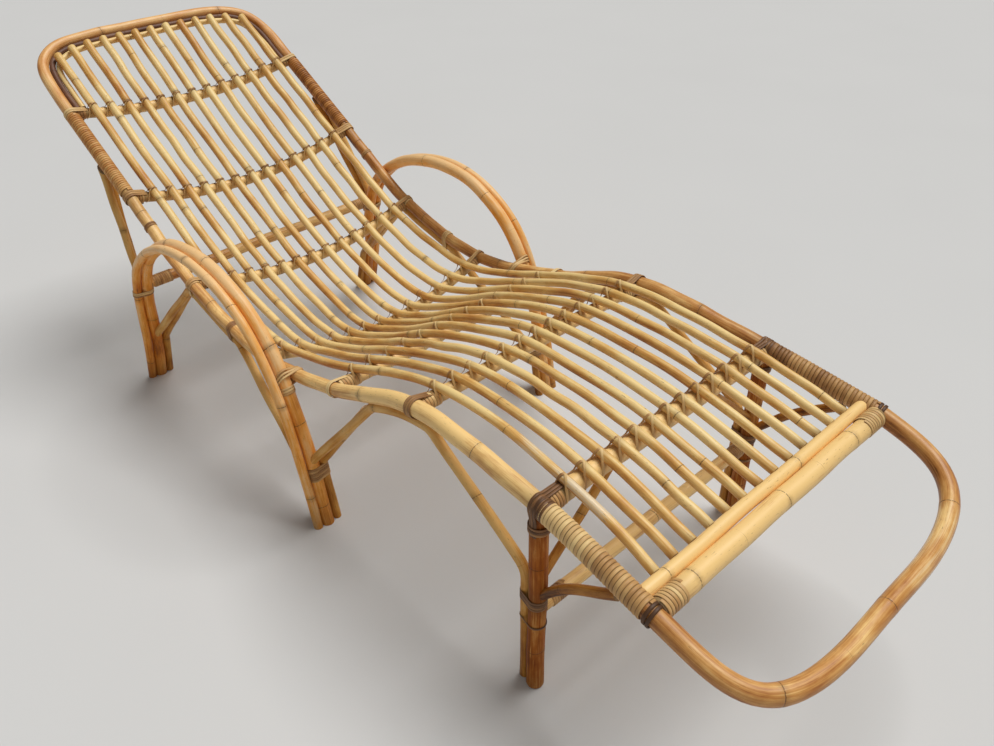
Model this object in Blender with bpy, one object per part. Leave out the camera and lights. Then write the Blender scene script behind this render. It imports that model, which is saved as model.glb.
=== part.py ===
"""A rattan chaise longue, with one object for each piece of cane.

Metres, +Z up, +X towards the foot end, +Y to the sitter's left. The origin lies on the floor, under the
middle of the object's box. Every joint is nailed and bound, so nothing moves.
"""

import math
from typing import NamedTuple

import bmesh
import bpy
import numpy as np

# Clearance between canes that touch
GAP = 0.0003

# Diameters of the canes
BACK_RAIL_D = 0.023
RAIL_D = 0.027
BAR_D = 0.020
KNEE_BAR_D = 0.0225
LEG_BAR_D = 0.030
FOOT_BAR_D = 0.030
SLAT_END_D = 0.020
SLAT_D = 0.017
SLAT_FOOT_D = 0.0145
LINER_D = 0.012
INNER_D = 0.012
ARM_D = 0.024
RIM_THINNER = 0.007
RIM_D = ARM_D - RIM_THINNER
STAY_D = 0.015
BRACE_D = 0.016
POST_D = 0.027
FOOT_BRACE_D = 0.015
DIAGONAL_D = 0.014
STRETCHER_D = 0.023
PEEL_D = 0.0034

# Half widths of the frame, from its middle to the rail's axis
BACK_HALF = 0.262
KNEE_HALF = 0.253
LEG_HALF = 0.257
FOOT_HALF = 0.270

# How far the ends of the crossbars stop short of the rail's axis
BAR_SHORT = 0.006

# Bows that close the frame: how far they reach past the end crossbars, and how square their corners are;
# the foot bow is bent rounder on the left
HEAD_REACH = 0.197
HEAD_SQUARENESS = 4.6
FOOT_REACH = 0.178
FOOT_SQUARENESS_LEFT = 3.2
FOOT_SQUARENESS_RIGHT = 4.6
FOOT_SLOPE = math.radians(-14.0)

# Splices: distance from the crossbar before them to the middle of the scarf, and the scarf's tilt
HEAD_SPLICE = 0.115
FOOT_SPLICE = 0.085
SCARF_TILT = math.radians(68.0)
HEAD_LOOPS = 16
FOOT_LOOPS = 11
BINDING_MARGIN = 0.006

# Slats
SLAT_COUNT = 13
SLAT_EDGE = 0.045

# Arm hoop, from the rear foot over the arm rest to the middle foot, in its own upright plane
ARM_ROUTE = (
    (-0.581, 0.000),
    (-0.549, 0.120),
    (-0.537, 0.215),
    (-0.495, 0.309),
    (-0.378, 0.395),
    (-0.238, 0.422),
    (-0.133, 0.402),
    (-0.038, 0.331),
    (0.025, 0.191),
    (0.066, 0.000),
)

# Heights and places of the stays, braces and stretchers
STAY_TOP = 0.120
STAY_LANDING = 0.262
STAY_BOTTOM = 0.208
STAY_OUT = 0.006
STAY_TOP_TURN = math.radians(60.0)
STAY_BOTTOM_TURN = math.radians(17.0)
SEAT_BRACE_FOOT = 0.116
SEAT_BRACE_ON = -0.360
SEAT_BRACE_OFF = -0.198
SEAT_BRACE_LANDING = 0.080
KNEE_BRACE_FOOT = 0.128
KNEE_BRACE_ON = 0.200
KNEE_BRACE_OFF = 0.342
KNEE_BRACE_LANDING = 0.232
STRUT_SHORT = 0.040
STRUT_LOW_TILT = math.radians(68.0)
STRUT_HIGH_TILT = math.radians(112.0)
POST_AHEAD = 0.008
FOOT_BRACE_BOTTOM = 0.196
FOOT_BRACE_RUN = 0.145
FOOT_BRACE_KNUCKLE = (0.45, 0.50, 0.55)
DIAGONAL_BOTTOM = 0.222
DIAGONAL_ACROSS = 0.155
REAR_STRETCHER_Z = 0.252
FRONT_STRETCHER_Z = 0.170
BEND_R = 0.035
BELOW_FLOOR = 0.030

# Fineness of the tubes, and of the curves they follow
FINE_STEPS = 4
PLAIN_STEPS = 2
PEEL_STEPS = 1
LOOP_POINTS = 12
CURVE_STEPS = 30
BOW_STEPS = 400
CANE_TURN = math.radians(11.0)
CANE_STEP = 0.16
ROUND_TURN = math.radians(15.0)
SHARP_EDGE = math.radians(50.0)
CLOSE = 0.012
SNAP = 0.002
WELD = 1e-6
TINY = 1e-5
SETTLES = 4
COPED_POINTS = 3


class Bar(NamedTuple):
    """A crossbar: its station on the rails' axis, the frame's half width there and the bar's sag in the middle.

    A thicker bar has its own diameter, and lies a little ahead of the station and below it.
    """

    name: str
    x: float
    z: float
    half: float
    sag: float
    d: float = BAR_D
    ahead: float = 0.0
    below: float = 0.0


BARS = (
    Bar("back_crossbar_upper", -0.764, 0.540, BACK_HALF, 0.028),
    Bar("back_crossbar_middle", -0.559, 0.425, BACK_HALF, 0.042),
    Bar("back_crossbar_lower", -0.353, 0.314, BACK_HALF, 0.046),
    Bar("seat_crossbar_rear", -0.117, 0.266, BACK_HALF, 0.058),
    Bar("seat_crossbar_middle", 0.112, 0.313, BACK_HALF, 0.0),
    Bar("knee_crossbar", 0.306, 0.381, KNEE_HALF, 0.0, KNEE_BAR_D, 0.003, 0.003),
    Bar("leg_crossbar", 0.558, 0.369, LEG_HALF, 0.0, LEG_BAR_D, 0.007, 0.005),
    Bar("foot_crossbar", 0.761, 0.339, FOOT_HALF, 0.0, FOOT_BAR_D),
)
HEAD_BAR = BARS[0]
SECOND_BAR = BARS[1]
SEAT_BAR = BARS[3]
TAPER_BAR = BARS[4]
KNEE_BAR = BARS[5]
LEG_BAR = BARS[6]
FOOT_BAR = BARS[7]

SIDES = ("right", "left")
ACROSS = np.array((0.0, 1.0, 0.0))


class Finish(NamedTuple):
    """The colour and roughness of one kind of cane."""

    colour: tuple[float, float, float]
    roughness: float


FINISHES = {
    "rail_cane": Finish((0.56, 0.33, 0.15), 0.45),
    "slat_cane": Finish((0.74, 0.52, 0.25), 0.45),
    "arm_cane": Finish((0.58, 0.33, 0.14), 0.42),
    "brace_cane": Finish((0.42, 0.22, 0.08), 0.50),
    "leg_cane": Finish((0.26, 0.10, 0.03), 0.50),
    "liner_cane": Finish((0.16, 0.07, 0.03), 0.55),
    "tan_peel": Finish((0.46, 0.28, 0.14), 0.55),
    "brown_peel": Finish((0.34, 0.15, 0.06), 0.55),
}


def unit(vector):
    """The vector at length one."""
    return vector / np.linalg.norm(vector)


def angle_between(first, second):
    """The angle between two directions."""
    return math.acos(float(np.clip(np.dot(unit(first), unit(second)), -1.0, 1.0)))


def upright(direction):
    """The normal of a direction in its upright plane along X: turned a quarter turn, so +X gives +Z."""
    return unit(np.array((-direction[2], 0.0, direction[0])))


def smooth(points):
    """A centripetal Catmull-Rom curve through the points, which it keeps, CURVE_STEPS apart."""
    knots = np.asarray(points, float)
    padded = np.vstack((2.0 * knots[0] - knots[1], knots, 2.0 * knots[-1] - knots[-2]))
    gaps = np.sqrt(np.linalg.norm(np.diff(padded, axis=0), axis=1))
    curve = [knots[0]]
    for i in range(len(knots) - 1):
        a, b, c, d = padded[i:i + 4]
        before, here, after = gaps[i:i + 3]
        leave = (b - a) / before - (c - a) / (before + here) + (c - b) / here
        arrive = (c - b) / here - (d - b) / (here + after) + (d - c) / after
        for t in np.linspace(0.0, 1.0, CURVE_STEPS + 1)[1:]:
            pull = here * (t * (1.0 - t) ** 2 * leave - t ** 2 * (1.0 - t) * arrive)
            curve.append(b + (c - b) * t ** 2 * (3.0 - 2.0 * t) + pull)
    return np.array(curve)


def thin(curve, kept=()):
    """Keeps the points of a fine curve that a tube needs: its ends, the kept ones, and one for each turn."""
    chosen = [0]
    heading = curve[1] - curve[0]
    for i in range(1, len(curve) - 1):
        ahead = curve[i + 1] - curve[i]
        reach = np.linalg.norm(curve[i] - curve[chosen[-1]])
        turned = angle_between(heading, ahead) > CANE_TURN and reach > CLOSE
        if i in kept and reach < CLOSE and chosen[-1] not in kept and len(chosen) > 1:
            chosen.pop()
        if i in kept or turned or reach > CANE_STEP:
            chosen.append(i)
            heading = ahead
    chosen.append(len(curve) - 1)
    return curve[chosen]


def bend(corners, radius=BEND_R):
    """A route with its sharp corners rounded to the radius, or less where a run is too short for it."""
    corners = [np.asarray(corner, float) for corner in corners]
    route = [corners[0]]
    for before, corner, after in zip(corners, corners[1:], corners[2:]):
        back = unit(before - corner)
        ahead = unit(after - corner)
        turn = math.pi - angle_between(back, ahead)
        if turn < ROUND_TURN:
            route.append(corner)
            continue
        shortest = min(np.linalg.norm(before - corner), np.linalg.norm(after - corner))
        fitted = min(radius, 0.45 * shortest / math.tan(turn / 2.0))
        inward = unit(back + ahead)
        sideways = unit(ahead - back)
        middle = corner + inward * fitted / math.cos(turn / 2.0)
        for t in np.linspace(-turn / 2.0, turn / 2.0, math.ceil(turn / ROUND_TURN) + 1):
            route.append(middle + fitted * (sideways * math.sin(t) - inward * math.cos(t)))
    route.append(corners[-1])
    return np.array(route)


def lengths(route):
    """How far along the route each of its points lies."""
    return np.concatenate(((0.0,), np.cumsum(np.linalg.norm(np.diff(route, axis=0), axis=1))))


def along(route, distance):
    """The point at a distance along the route, and the route's direction there."""
    at = lengths(route)
    point = np.array([np.interp(distance, at, route[:, axis]) for axis in range(3)])
    segment = int(np.clip(np.searchsorted(at, distance, side="right") - 1, 0, len(route) - 2))
    return point, unit(route[segment + 1] - route[segment])


def stretch(route, start, end):
    """The part of the route between two distances along it."""
    at = lengths(route)
    inner = route[(at > start + SNAP) & (at < end - SNAP)]
    return np.vstack((along(route, start)[0], inner, along(route, end)[0]))


def on_side(side, route):
    """A route, point or direction of the left side, as it is there or mirrored to the right side."""
    placed = np.array(route, float)
    if side == "right":
        placed[..., 1] = -placed[..., 1]
    return placed


def slat_ys(half):
    """Where the slats lie across the frame, from right to left."""
    return np.linspace(-1.0, 1.0, SLAT_COUNT) * (half - SLAT_EDGE)


def slat_d(x):
    """The diameter of a slat, which tapers towards the foot over the lower back."""
    return np.interp(x, (SECOND_BAR.x, SEAT_BAR.x), (SLAT_D, SLAT_FOOT_D))


def bar_point(bar, y):
    """A point on the axis of a crossbar, which hangs in a bow by its sag."""
    return np.array((bar.x + bar.ahead, y, bar.z - bar.below - bar.sag * (1.0 - (y / bar.half) ** 2)))


def across_bar(bar):
    """The axis of a crossbar from rail to rail, with a point under each slat where it hangs in a bow."""
    under = slat_ys(bar.half) if bar.sag else ()
    end = bar.half - BAR_SHORT
    return np.array([bar_point(bar, y) for y in (-end, *under, end)])


def tube_mesh(name, route, diameters, fineness, twist):
    """A closed mesh of a round cane along the route."""
    radii = np.broadcast_to(np.asarray(diameters, float) / 2.0, len(route))
    data = bpy.data.curves.new(name, "CURVE")
    data.dimensions = "3D"
    data.twist_mode = twist
    data.bevel_depth = float(radii.max())
    data.bevel_resolution = fineness
    data.use_fill_caps = True
    spline = data.splines.new("POLY")
    spline.points.add(len(route) - 1)
    for point, place, radius in zip(spline.points, route, radii):
        point.co = (*place, 1.0)
        point.radius = radius / radii.max()
    guide = bpy.data.objects.new(name, data)
    bpy.context.collection.objects.link(guide)
    evaluated = guide.evaluated_get(bpy.context.evaluated_depsgraph_get())
    mesh = bpy.data.meshes.new_from_object(evaluated)
    bpy.data.objects.remove(guide)
    bpy.data.curves.remove(data)
    return mesh


def trim(mesh, cuts):
    """Welds the tube's caps on, and cuts it by planes, each a point and the normal of the side removed."""
    shape = bmesh.new()
    shape.from_mesh(mesh)
    bmesh.ops.remove_doubles(shape, verts=shape.verts, dist=WELD)
    for point, normal in cuts:
        parts = shape.verts[:] + shape.edges[:] + shape.faces[:]
        bmesh.ops.bisect_plane(
            shape, geom=parts, dist=WELD, plane_co=point, plane_no=normal, clear_outer=True)
        rim = [edge for edge in shape.edges if edge.is_boundary]
        bmesh.ops.holes_fill(shape, edges=rim)
    bmesh.ops.recalc_face_normals(shape, faces=shape.faces)
    shape.to_mesh(mesh)
    shape.free()


def material(slot):
    """The material of one kind of cane, made when it is first asked for."""
    if slot not in bpy.data.materials:
        finish = FINISHES[slot]
        made = bpy.data.materials.new(slot)
        made.use_nodes = True
        shader = made.node_tree.nodes["Principled BSDF"]
        shader.inputs["Base Color"].default_value = (*finish.colour, 1.0)
        shader.inputs["Roughness"].default_value = finish.roughness
        shader.inputs["Metallic"].default_value = 0.0
    return bpy.data.materials[slot]


def cane(name, route, diameters, slot, cuts=(), fineness=PLAIN_STEPS, twist="Z_UP"):
    """One cane of the chaise: a tube along a route, trimmed by planes, under the chaise's empty."""
    mesh = tube_mesh(name, route, diameters, fineness, twist)
    trim(mesh, cuts)
    mesh.shade_smooth()
    mesh.set_sharp_from_angle(angle=SHARP_EDGE)
    mesh.materials.append(material(slot))
    piece = bpy.data.objects.new(name, mesh)
    bpy.context.collection.objects.link(piece)
    piece.parent = bpy.data.objects["chaise_longue"]
    return piece


def cutter(name, routes, diameters, fineness=PLAIN_STEPS):
    """A hidden tool that copes the ends of canes: the canes they meet, each thicker by the gap all round."""
    shape = bmesh.new()
    for route in routes:
        grown = np.asarray(diameters) + 2.0 * GAP
        shape.from_mesh(tube_mesh(name, route, grown, fineness, "Z_UP"))
    bmesh.ops.remove_doubles(shape, verts=shape.verts, dist=WELD)
    bmesh.ops.recalc_face_normals(shape, faces=shape.faces)
    mesh = bpy.data.meshes.new(name)
    shape.to_mesh(mesh)
    shape.free()
    tool = bpy.data.objects.new(name, mesh)
    bpy.context.collection.objects.link(tool)
    tool.hide_render = True
    tool.display_type = "WIRE"
    return tool


def cope(piece, tool):
    """Cuts the ends of a cane to the round of the canes that it meets."""
    cut = piece.modifiers.new("cope", "BOOLEAN")
    cut.operation = "DIFFERENCE"
    cut.solver = "EXACT"
    cut.object = tool


class Frame:
    """The axes of the frame on its left side: the rail between the end crossbars, and the half bows.

    The foot bow has a half for each side, both drawn on the left.
    """

    def __init__(self):
        stations = [(bar.x, bar.half, bar.z) for bar in BARS]
        self.side = thin(smooth(stations), {CURVE_STEPS * i for i in range(len(BARS))})
        self.up = unit((self.side[0] - self.side[1]) * (1.0, 0.0, 1.0))
        self.out = np.array((math.cos(FOOT_SLOPE), 0.0, math.sin(FOOT_SLOPE)))
        self.head = self.half_bow(HEAD_BAR, self.up, HEAD_REACH, HEAD_SQUARENESS)
        self.foot = {"left": self.half_bow(FOOT_BAR, self.out, FOOT_REACH, FOOT_SQUARENESS_LEFT),
                     "right": self.half_bow(FOOT_BAR, self.out, FOOT_REACH, FOOT_SQUARENESS_RIGHT)}
        self.length = lengths(self.side)[-1]
        self.leg_bar_at = self.distance(LEG_BAR.x)
        self.foot_splice = self.leg_bar_at + FOOT_SPLICE

    @staticmethod
    def half_bow(bar, direction, reach, squareness):
        """Half a bow, from the crossbar's end to the middle: a quarter of a superellipse."""
        turns = np.linspace(0.0, math.pi / 2.0, BOW_STEPS)
        outward = reach * np.sin(turns) ** (2.0 / squareness)
        sideways = bar.half * np.cos(turns) ** (2.0 / squareness)
        base = np.array((bar.x, 0.0, bar.z))
        curve = base + np.outer(outward, direction) + np.outer(sideways, ACROSS)
        curve[-1][1] = 0.0
        return thin(curve)

    def rail_d(self, x):
        """The diameter of the rail, which tapers towards the head."""
        return np.interp(x, (TAPER_BAR.x, KNEE_BAR.x), (BACK_RAIL_D, RAIL_D))

    def distance(self, x):
        """How far along the rail an X lies."""
        return float(np.interp(x, self.side[:, 0], lengths(self.side)))

    def at(self, x):
        """The rail's axis at an X, with its direction there."""
        return along(self.side, self.distance(x))

    def under(self, x_from, x_to, diameter):
        """The axis of a cane that lies along under the rail, between two Xs."""
        inside = (self.side[:, 0] > x_from + SNAP) & (self.side[:, 0] < x_to - SNAP)
        route = []
        for x in (x_from, *self.side[inside, 0], x_to):
            point, before = self.at(x - TINY)
            ahead = self.at(x + TINY)[1]
            drop = (self.rail_d(x) + diameter) / 2.0 + GAP
            route.append(point - upright(before + ahead) * drop)
        return route

    def binding_radius(self, x):
        """The outside of a splice binding, from the rail's axis."""
        return (self.rail_d(x) / 2.0 + PEEL_D / 2.0 + GAP) / math.cos(math.pi / LOOP_POINTS) + PEEL_D / 2.0


class Arm:
    """The axes of the left arm hoop, which stands against the outside of the rail."""

    def __init__(self, frame):
        flat = np.array([(x, 0.0, z) for x, z in ARM_ROUTE])
        route = thin(smooth(flat))
        first = route[0] + unit(route[0] - route[1]) * BELOW_FLOOR
        last = route[-1] + unit(route[-1] - route[-2]) * BELOW_FLOOR
        spanned = frame.side[(frame.side[:, 0] > route[0][0]) & (frame.side[:, 0] < route[-1][0])]
        outside = np.max(spanned[:, 1] + frame.rail_d(spanned[:, 0]) / 2.0)
        self.y = float(outside + ARM_D / 2.0 + GAP)
        self.rim_y = self.y + (ARM_D + RIM_D) / 2.0 + GAP
        self.route = np.vstack((first, route, last))
        top = int(np.argmax(self.route[:, 2]))
        self.rear_leg = self.route[:top + 1]
        self.front_leg = self.route[top:][::-1]

    def leg_at(self, leg, z):
        """A leg's axis at a height, and its direction upwards there."""
        segment = int(np.clip(np.searchsorted(leg[:, 2], z) - 1, 0, len(leg) - 2))
        low, high = leg[segment:segment + 2]
        point = low + (high - low) * (z - low[2]) / (high[2] - low[2])
        return point + ACROSS * self.y, unit(high - low)

    def up_leg(self, leg, z_from, z_to):
        """The axis of a leg from one height up to another, with the leg's forward normal at each point."""
        heights = [z for z in leg[:, 2] if z_from + SNAP < z < z_to - SNAP]
        route = []
        for z in (z_from, *heights, z_to):
            point, below = self.leg_at(leg, z - TINY)
            above = self.leg_at(leg, z + TINY)[1]
            route.append((point, -upright(below + above)))
        return route

    def behind(self, leg, z_from, z_to, diameter):
        """The axis of a cane that lies along the rear side of a leg, from one height up to another."""
        away = (ARM_D + diameter) / 2.0 + GAP
        return [point - forward * away for point, forward in self.up_leg(leg, z_from, z_to)]

    def inside(self, leg, z_from, z_to, diameter):
        """The axis of a cane that lies along the inner side of a leg, from one height up to another."""
        away = (ARM_D + diameter) / 2.0 + GAP
        return [point - ACROSS * away for point, forward in self.up_leg(leg, z_from, z_to)]


def make_frame(frame):
    """The side rails and the bows, scarfed to each other by planes square to the frame."""
    scarfs = []
    for at in (HEAD_SPLICE, frame.foot_splice):
        point, direction = along(frame.side, at)
        ahead = unit(direction * (1.0, 0.0, 1.0))
        facing = math.cos(SCARF_TILT) * ahead + math.sin(SCARF_TILT) * upright(direction)
        lap = frame.rail_d(point[0]) * math.tan(SCARF_TILT) / 2.0 + BINDING_MARGIN
        scarfs.append((at, point, facing, lap))
    (head_at, head_point, head_face, head_lap), (foot_at, foot_point, foot_face, foot_lap) = scarfs

    rail = stretch(frame.side, head_at - head_lap, foot_at + foot_lap)
    head_run = stretch(frame.side, 0.0, head_at + head_lap)[::-1]
    foot_run = stretch(frame.side, foot_at - foot_lap, frame.length)
    for side in SIDES:
        cuts = ((on_side(side, head_point + head_face * GAP / 2.0), -head_face),
                (on_side(side, foot_point - foot_face * GAP / 2.0), foot_face))
        diameters = frame.rail_d(rail[:, 0])
        cane(f"side_rail_{side}", on_side(side, rail), diameters, "rail_cane", cuts, FINE_STEPS)

    for name, run, bow, point, face, diameter in (
            ("head_bow", head_run, {side: frame.head for side in SIDES}, head_point, head_face, BACK_RAIL_D),
            ("foot_bow", foot_run, frame.foot, foot_point, -foot_face, RAIL_D)):
        left = np.vstack((run, bow["left"][1:]))
        right = np.vstack((run, bow["right"][1:]))
        route = np.vstack((on_side("right", right), left[-2::-1]))
        cane(name, route, diameter, "rail_cane", ((point - face * GAP / 2.0, face),), FINE_STEPS)


def make_bindings(frame):
    """The windings of cane peel over the scarfs, each one unbroken tube."""
    bar_clear = BAR_D / 2.0 + BINDING_MARGIN
    post_clear = POST_AHEAD + POST_D / 2.0 + BINDING_MARGIN
    end_clear = FOOT_BAR_D / 2.0 + SLAT_END_D + BINDING_MARGIN
    spans = (("head", HEAD_LOOPS, bar_clear, frame.distance(SECOND_BAR.x) - bar_clear, "brown_peel"),
             ("foot", FOOT_LOOPS, frame.leg_bar_at + post_clear, frame.length - end_clear, "tan_peel"))
    for end, loops, start, stop, slot in spans:
        turns = np.linspace(0.0, 2.0 * math.pi * loops, LOOP_POINTS * loops + 1)
        coil = []
        for turn, distance in zip(turns, np.linspace(start, stop, len(turns))):
            point, direction = along(frame.side, distance)
            above = upright(direction)
            radius = frame.binding_radius(point[0]) - PEEL_D / 2.0
            aside = np.cross(direction, above)
            coil.append(point + radius * (above * math.cos(turn) + aside * math.sin(turn)))
        coil = np.array(coil)
        first = coil[0] + unit(coil[0] - coil[1]) * PEEL_D
        last = coil[-1] + unit(coil[-1] - coil[-2]) * PEEL_D
        route = np.vstack((first, coil, last))
        print(f"{end} splice binding: least gap to itself {least_gap(coil) * 1000.0:.2f} mm")
        for side in SIDES:
            cane(f"{end}_splice_binding_{side}", on_side(side, route), PEEL_D, slot,
                 fineness=PEEL_STEPS, twist="MINIMUM")


def least_gap(coil):
    """The least gap between the loops of a winding, measured between points half a loop or more apart."""
    nearest = math.inf
    for i in range(len(coil)):
        later = coil[i + LOOP_POINTS // 2:]
        if len(later):
            nearest = min(nearest, float(np.min(np.linalg.norm(later - coil[i], axis=1))))
    return nearest - PEEL_D


def make_head_canes(frame):
    """The liner and the inner cane, nested inside the head bow; returns the inner cane's left half."""
    bow = frame.head
    facing = np.cross(frame.up, ACROSS)
    stop = np.array((HEAD_BAR.x, 0.0, HEAD_BAR.z)) + frame.up * (BAR_D / 2.0 + GAP)
    inset = BACK_RAIL_D / 2.0
    canes = (("head_liner_cane", LINER_D, "liner_cane"), ("head_inner_cane", INNER_D, "rail_cane"))
    for name, diameter, slot in canes:
        inset += diameter / 2.0 + GAP
        half = []
        for i in range(len(bow) - 1):
            before = unit(bow[i] - bow[i - 1]) if i else frame.up
            inward = unit(np.cross(before + unit(bow[i + 1] - bow[i]), facing))
            half.append(bow[i] + inward * inset)
        half.append(bow[-1] - frame.up * inset)
        half = np.array(half)
        start = half[0] - frame.up * BAR_D
        route = np.vstack((start, half))
        whole = np.vstack((on_side("right", route), route[-2::-1]))
        cane(name, whole, diameter, slot, ((stop, -frame.up),))
        inset += diameter / 2.0
    return half


def make_crossbars(frame, tool, post_tool):
    """The crossbars, and the slat end cane behind the last one, coped to the rails; returns that cane.

    The thick bar over the front legs is coped to them too.
    """
    for bar in BARS:
        piece = cane(bar.name, across_bar(bar), bar.d, "rail_cane")
        cope(piece, tool)
        if bar is LEG_BAR:
            cope(piece, post_tool)
    behind = frame.out * ((FOOT_BAR_D + SLAT_END_D) / 2.0 + GAP)
    point = np.array((FOOT_BAR.x, 0.0, FOOT_BAR.z)) - behind
    end_bar = Bar("slat_end_cane", point[0], point[2], frame.at(point[0])[0][1], 0.0, SLAT_END_D)
    cope(cane(end_bar.name, across_bar(end_bar), end_bar.d, "rail_cane"), tool)
    return end_bar


def rest_on(point, cane_direction, slat_direction, spacing):
    """The axis point of a slat that lies on a cane, in the slat's upright plane."""
    above = upright(slat_direction)
    common = unit(np.cross(slat_direction, cane_direction))
    return point + above * spacing / abs(float(np.dot(above, common)))


def make_slats(frame, inner, end_bar):
    """The slats, bent over the crossbars, from the head's inner cane to the slat end cane."""
    on_inner = (INNER_D + SLAT_D) / 2.0 + GAP
    order = np.argsort(inner[:, 1])
    for number in range(SLAT_COUNT):
        y = slat_ys(HEAD_BAR.half)[number]
        place = [float(np.interp(abs(y), inner[order, 1], inner[order, axis])) for axis in (0, 2)]
        supports = [(np.array((place[0], y, place[1])), ACROSS, on_inner)]
        for bar in BARS[:-1]:
            y = slat_ys(bar.half)[number]
            slope = np.array((0.0, 1.0, 2.0 * bar.sag * y / bar.half ** 2))
            supports.append((bar_point(bar, y), slope, (bar.d + slat_d(bar.x)) / 2.0 + GAP))
        end = bar_point(end_bar, slat_ys(end_bar.half)[number]) - frame.out * (SLAT_END_D / 2.0 + GAP)
        route = np.array([point for point, direction, spacing in supports] + [end])
        for settle in range(SETTLES):
            ahead = np.vstack((route[1:], route[-1:]))
            behind = np.vstack((route[:1], route[:-1]))
            rested = [rest_on(point, direction, (leave - arrive) * (1.0, 0.0, 1.0), spacing)
                      for (point, direction, spacing), leave, arrive in zip(supports, ahead, behind)]
            route = np.array(rested + [end])
        tip = route[0] + unit(route[0] - route[1]) * INNER_D / 2.0
        curve = thin(smooth(route), {CURVE_STEPS * i for i in range(len(route))})
        line = np.vstack((tip, curve))
        cane(f"slat_{number + 1:02d}", line, slat_d(line[:, 0]), "slat_cane")


def make_arms(arm):
    """The arm hoops, which are also the rear and middle legs, and the rims along their outside."""
    floor = ((np.zeros(3), np.array((0.0, 0.0, -1.0))),)
    for side in SIDES:
        hoop = on_side(side, arm.route + ACROSS * arm.y)
        rim = on_side(side, arm.route + ACROSS * arm.rim_y)
        cane(f"arm_hoop_{side}", hoop, ARM_D, "arm_cane", floor)
        cane(f"arm_rim_{side}", rim, RIM_D, "arm_cane", floor)


def make_stays(frame, arm):
    """The pairs of stays from under the head splices down behind the rear legs.

    The rear stay of a pair starts on the inner side of the front one, and turns round it to run behind it.
    """
    top, direction = along(frame.side, STAY_TOP)
    below = top - upright(direction) * (frame.binding_radius(top[0]) + GAP)
    leg = arm.behind(arm.rear_leg, STAY_BOTTOM, STAY_LANDING, STAY_D)
    corners = np.array([top, *leg[::-1]]) + ACROSS * STAY_OUT
    runs = [-upright(after - before) for before, after in zip(corners, corners[1:])]
    mitres = [(before + after) / (1.0 + np.dot(before, after)) for before, after in zip(runs, runs[1:])]
    behind = np.array([runs[0], *mitres, runs[-1]])
    apart = (STAY_D + GAP) / math.cos((STAY_TOP_TURN - STAY_BOTTOM_TURN) / 2.0)
    turns = np.array([(STAY_TOP_TURN, *(STAY_BOTTOM_TURN,) * len(leg))]).T
    away = apart * (np.cos(turns) * behind - np.sin(turns) * ACROSS)
    for side in SIDES:
        cuts = ((on_side(side, below), upright(direction)),)
        cane(f"back_stay_{side}", on_side(side, bend(corners)), STAY_D, "brace_cane", cuts)
        cane(f"back_stay_rear_{side}", on_side(side, bend(corners + away)), STAY_D, "brace_cane", cuts)


def make_braces(frame, arm, post):
    """The braces from leg to leg, bent along under the rails, and the struts on their inner sides."""
    floor = (np.zeros(3), np.array((0.0, 0.0, -1.0)))
    sunk = -BELOW_FLOOR / 2.0
    post_rear = post - (POST_D / 2.0 + BRACE_D / 2.0 + GAP) * np.array((1.0, 0.0, 0.0))
    down_post = [post_rear + (0.0, 0.0, KNEE_BRACE_LANDING), post_rear + (0.0, 0.0, sunk)]
    down_leg = arm.behind(arm.front_leg, sunk, SEAT_BRACE_LANDING, BRACE_D)[::-1]
    seat_run = frame.under(SEAT_BRACE_ON, SEAT_BRACE_OFF, BRACE_D)
    knee_run = frame.under(KNEE_BRACE_ON, KNEE_BRACE_OFF, BRACE_D)
    runs = (("seat_brace", "rear_leg_strut", arm.rear_leg, SEAT_BRACE_FOOT, seat_run, down_leg),
            ("knee_brace", "arm_leg_strut", arm.front_leg, KNEE_BRACE_FOOT, knee_run, down_post))
    for brace_name, strut_name, leg, foot_z, under, landing in runs:
        foot, up_leg = arm.leg_at(leg, foot_z)
        forward = -upright(up_leg)
        brace = bend([foot, *under, *landing])
        face = foot + forward * (ARM_D / 2.0 + GAP)
        strut = bend(strut_corners(arm, leg, foot, up_leg, under[0], sunk))
        for side in SIDES:
            chamfer = (on_side(side, face), -forward)
            cane(f"{brace_name}_{side}", on_side(side, brace), BRACE_D, "brace_cane", (chamfer, floor),
                 twist="MINIMUM")
            cane(f"{strut_name}_{side}", on_side(side, strut), BRACE_D, "brace_cane", (floor,))


def strut_corners(arm, leg, foot, up_leg, landing, sunk):
    """The corners of a strut: up the inner side of a leg, then beside the brace, from below it to above it."""
    rise = (landing - foot) * (1.0, 0.0, 1.0)
    run = float(np.linalg.norm(rise))
    rise = rise / run
    spacing = BRACE_D + GAP
    low, high = (-upright(rise) * spacing * math.cos(tilt) - ACROSS * spacing * math.sin(tilt)
                 for tilt in (STRUT_LOW_TILT, STRUT_HIGH_TILT))
    climb = np.linalg.solve(np.array((up_leg[[0, 2]], -rise[[0, 2]])).T, low[[0, 2]])
    corner_z = float((foot + up_leg * climb[0])[2])
    lean = (landing[1] - foot[1]) / run
    reach = run - STRUT_SHORT
    end = foot + high + (rise + ACROSS * lean) * reach
    return [*arm.inside(leg, sunk, corner_z, BRACE_D), end]


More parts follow.
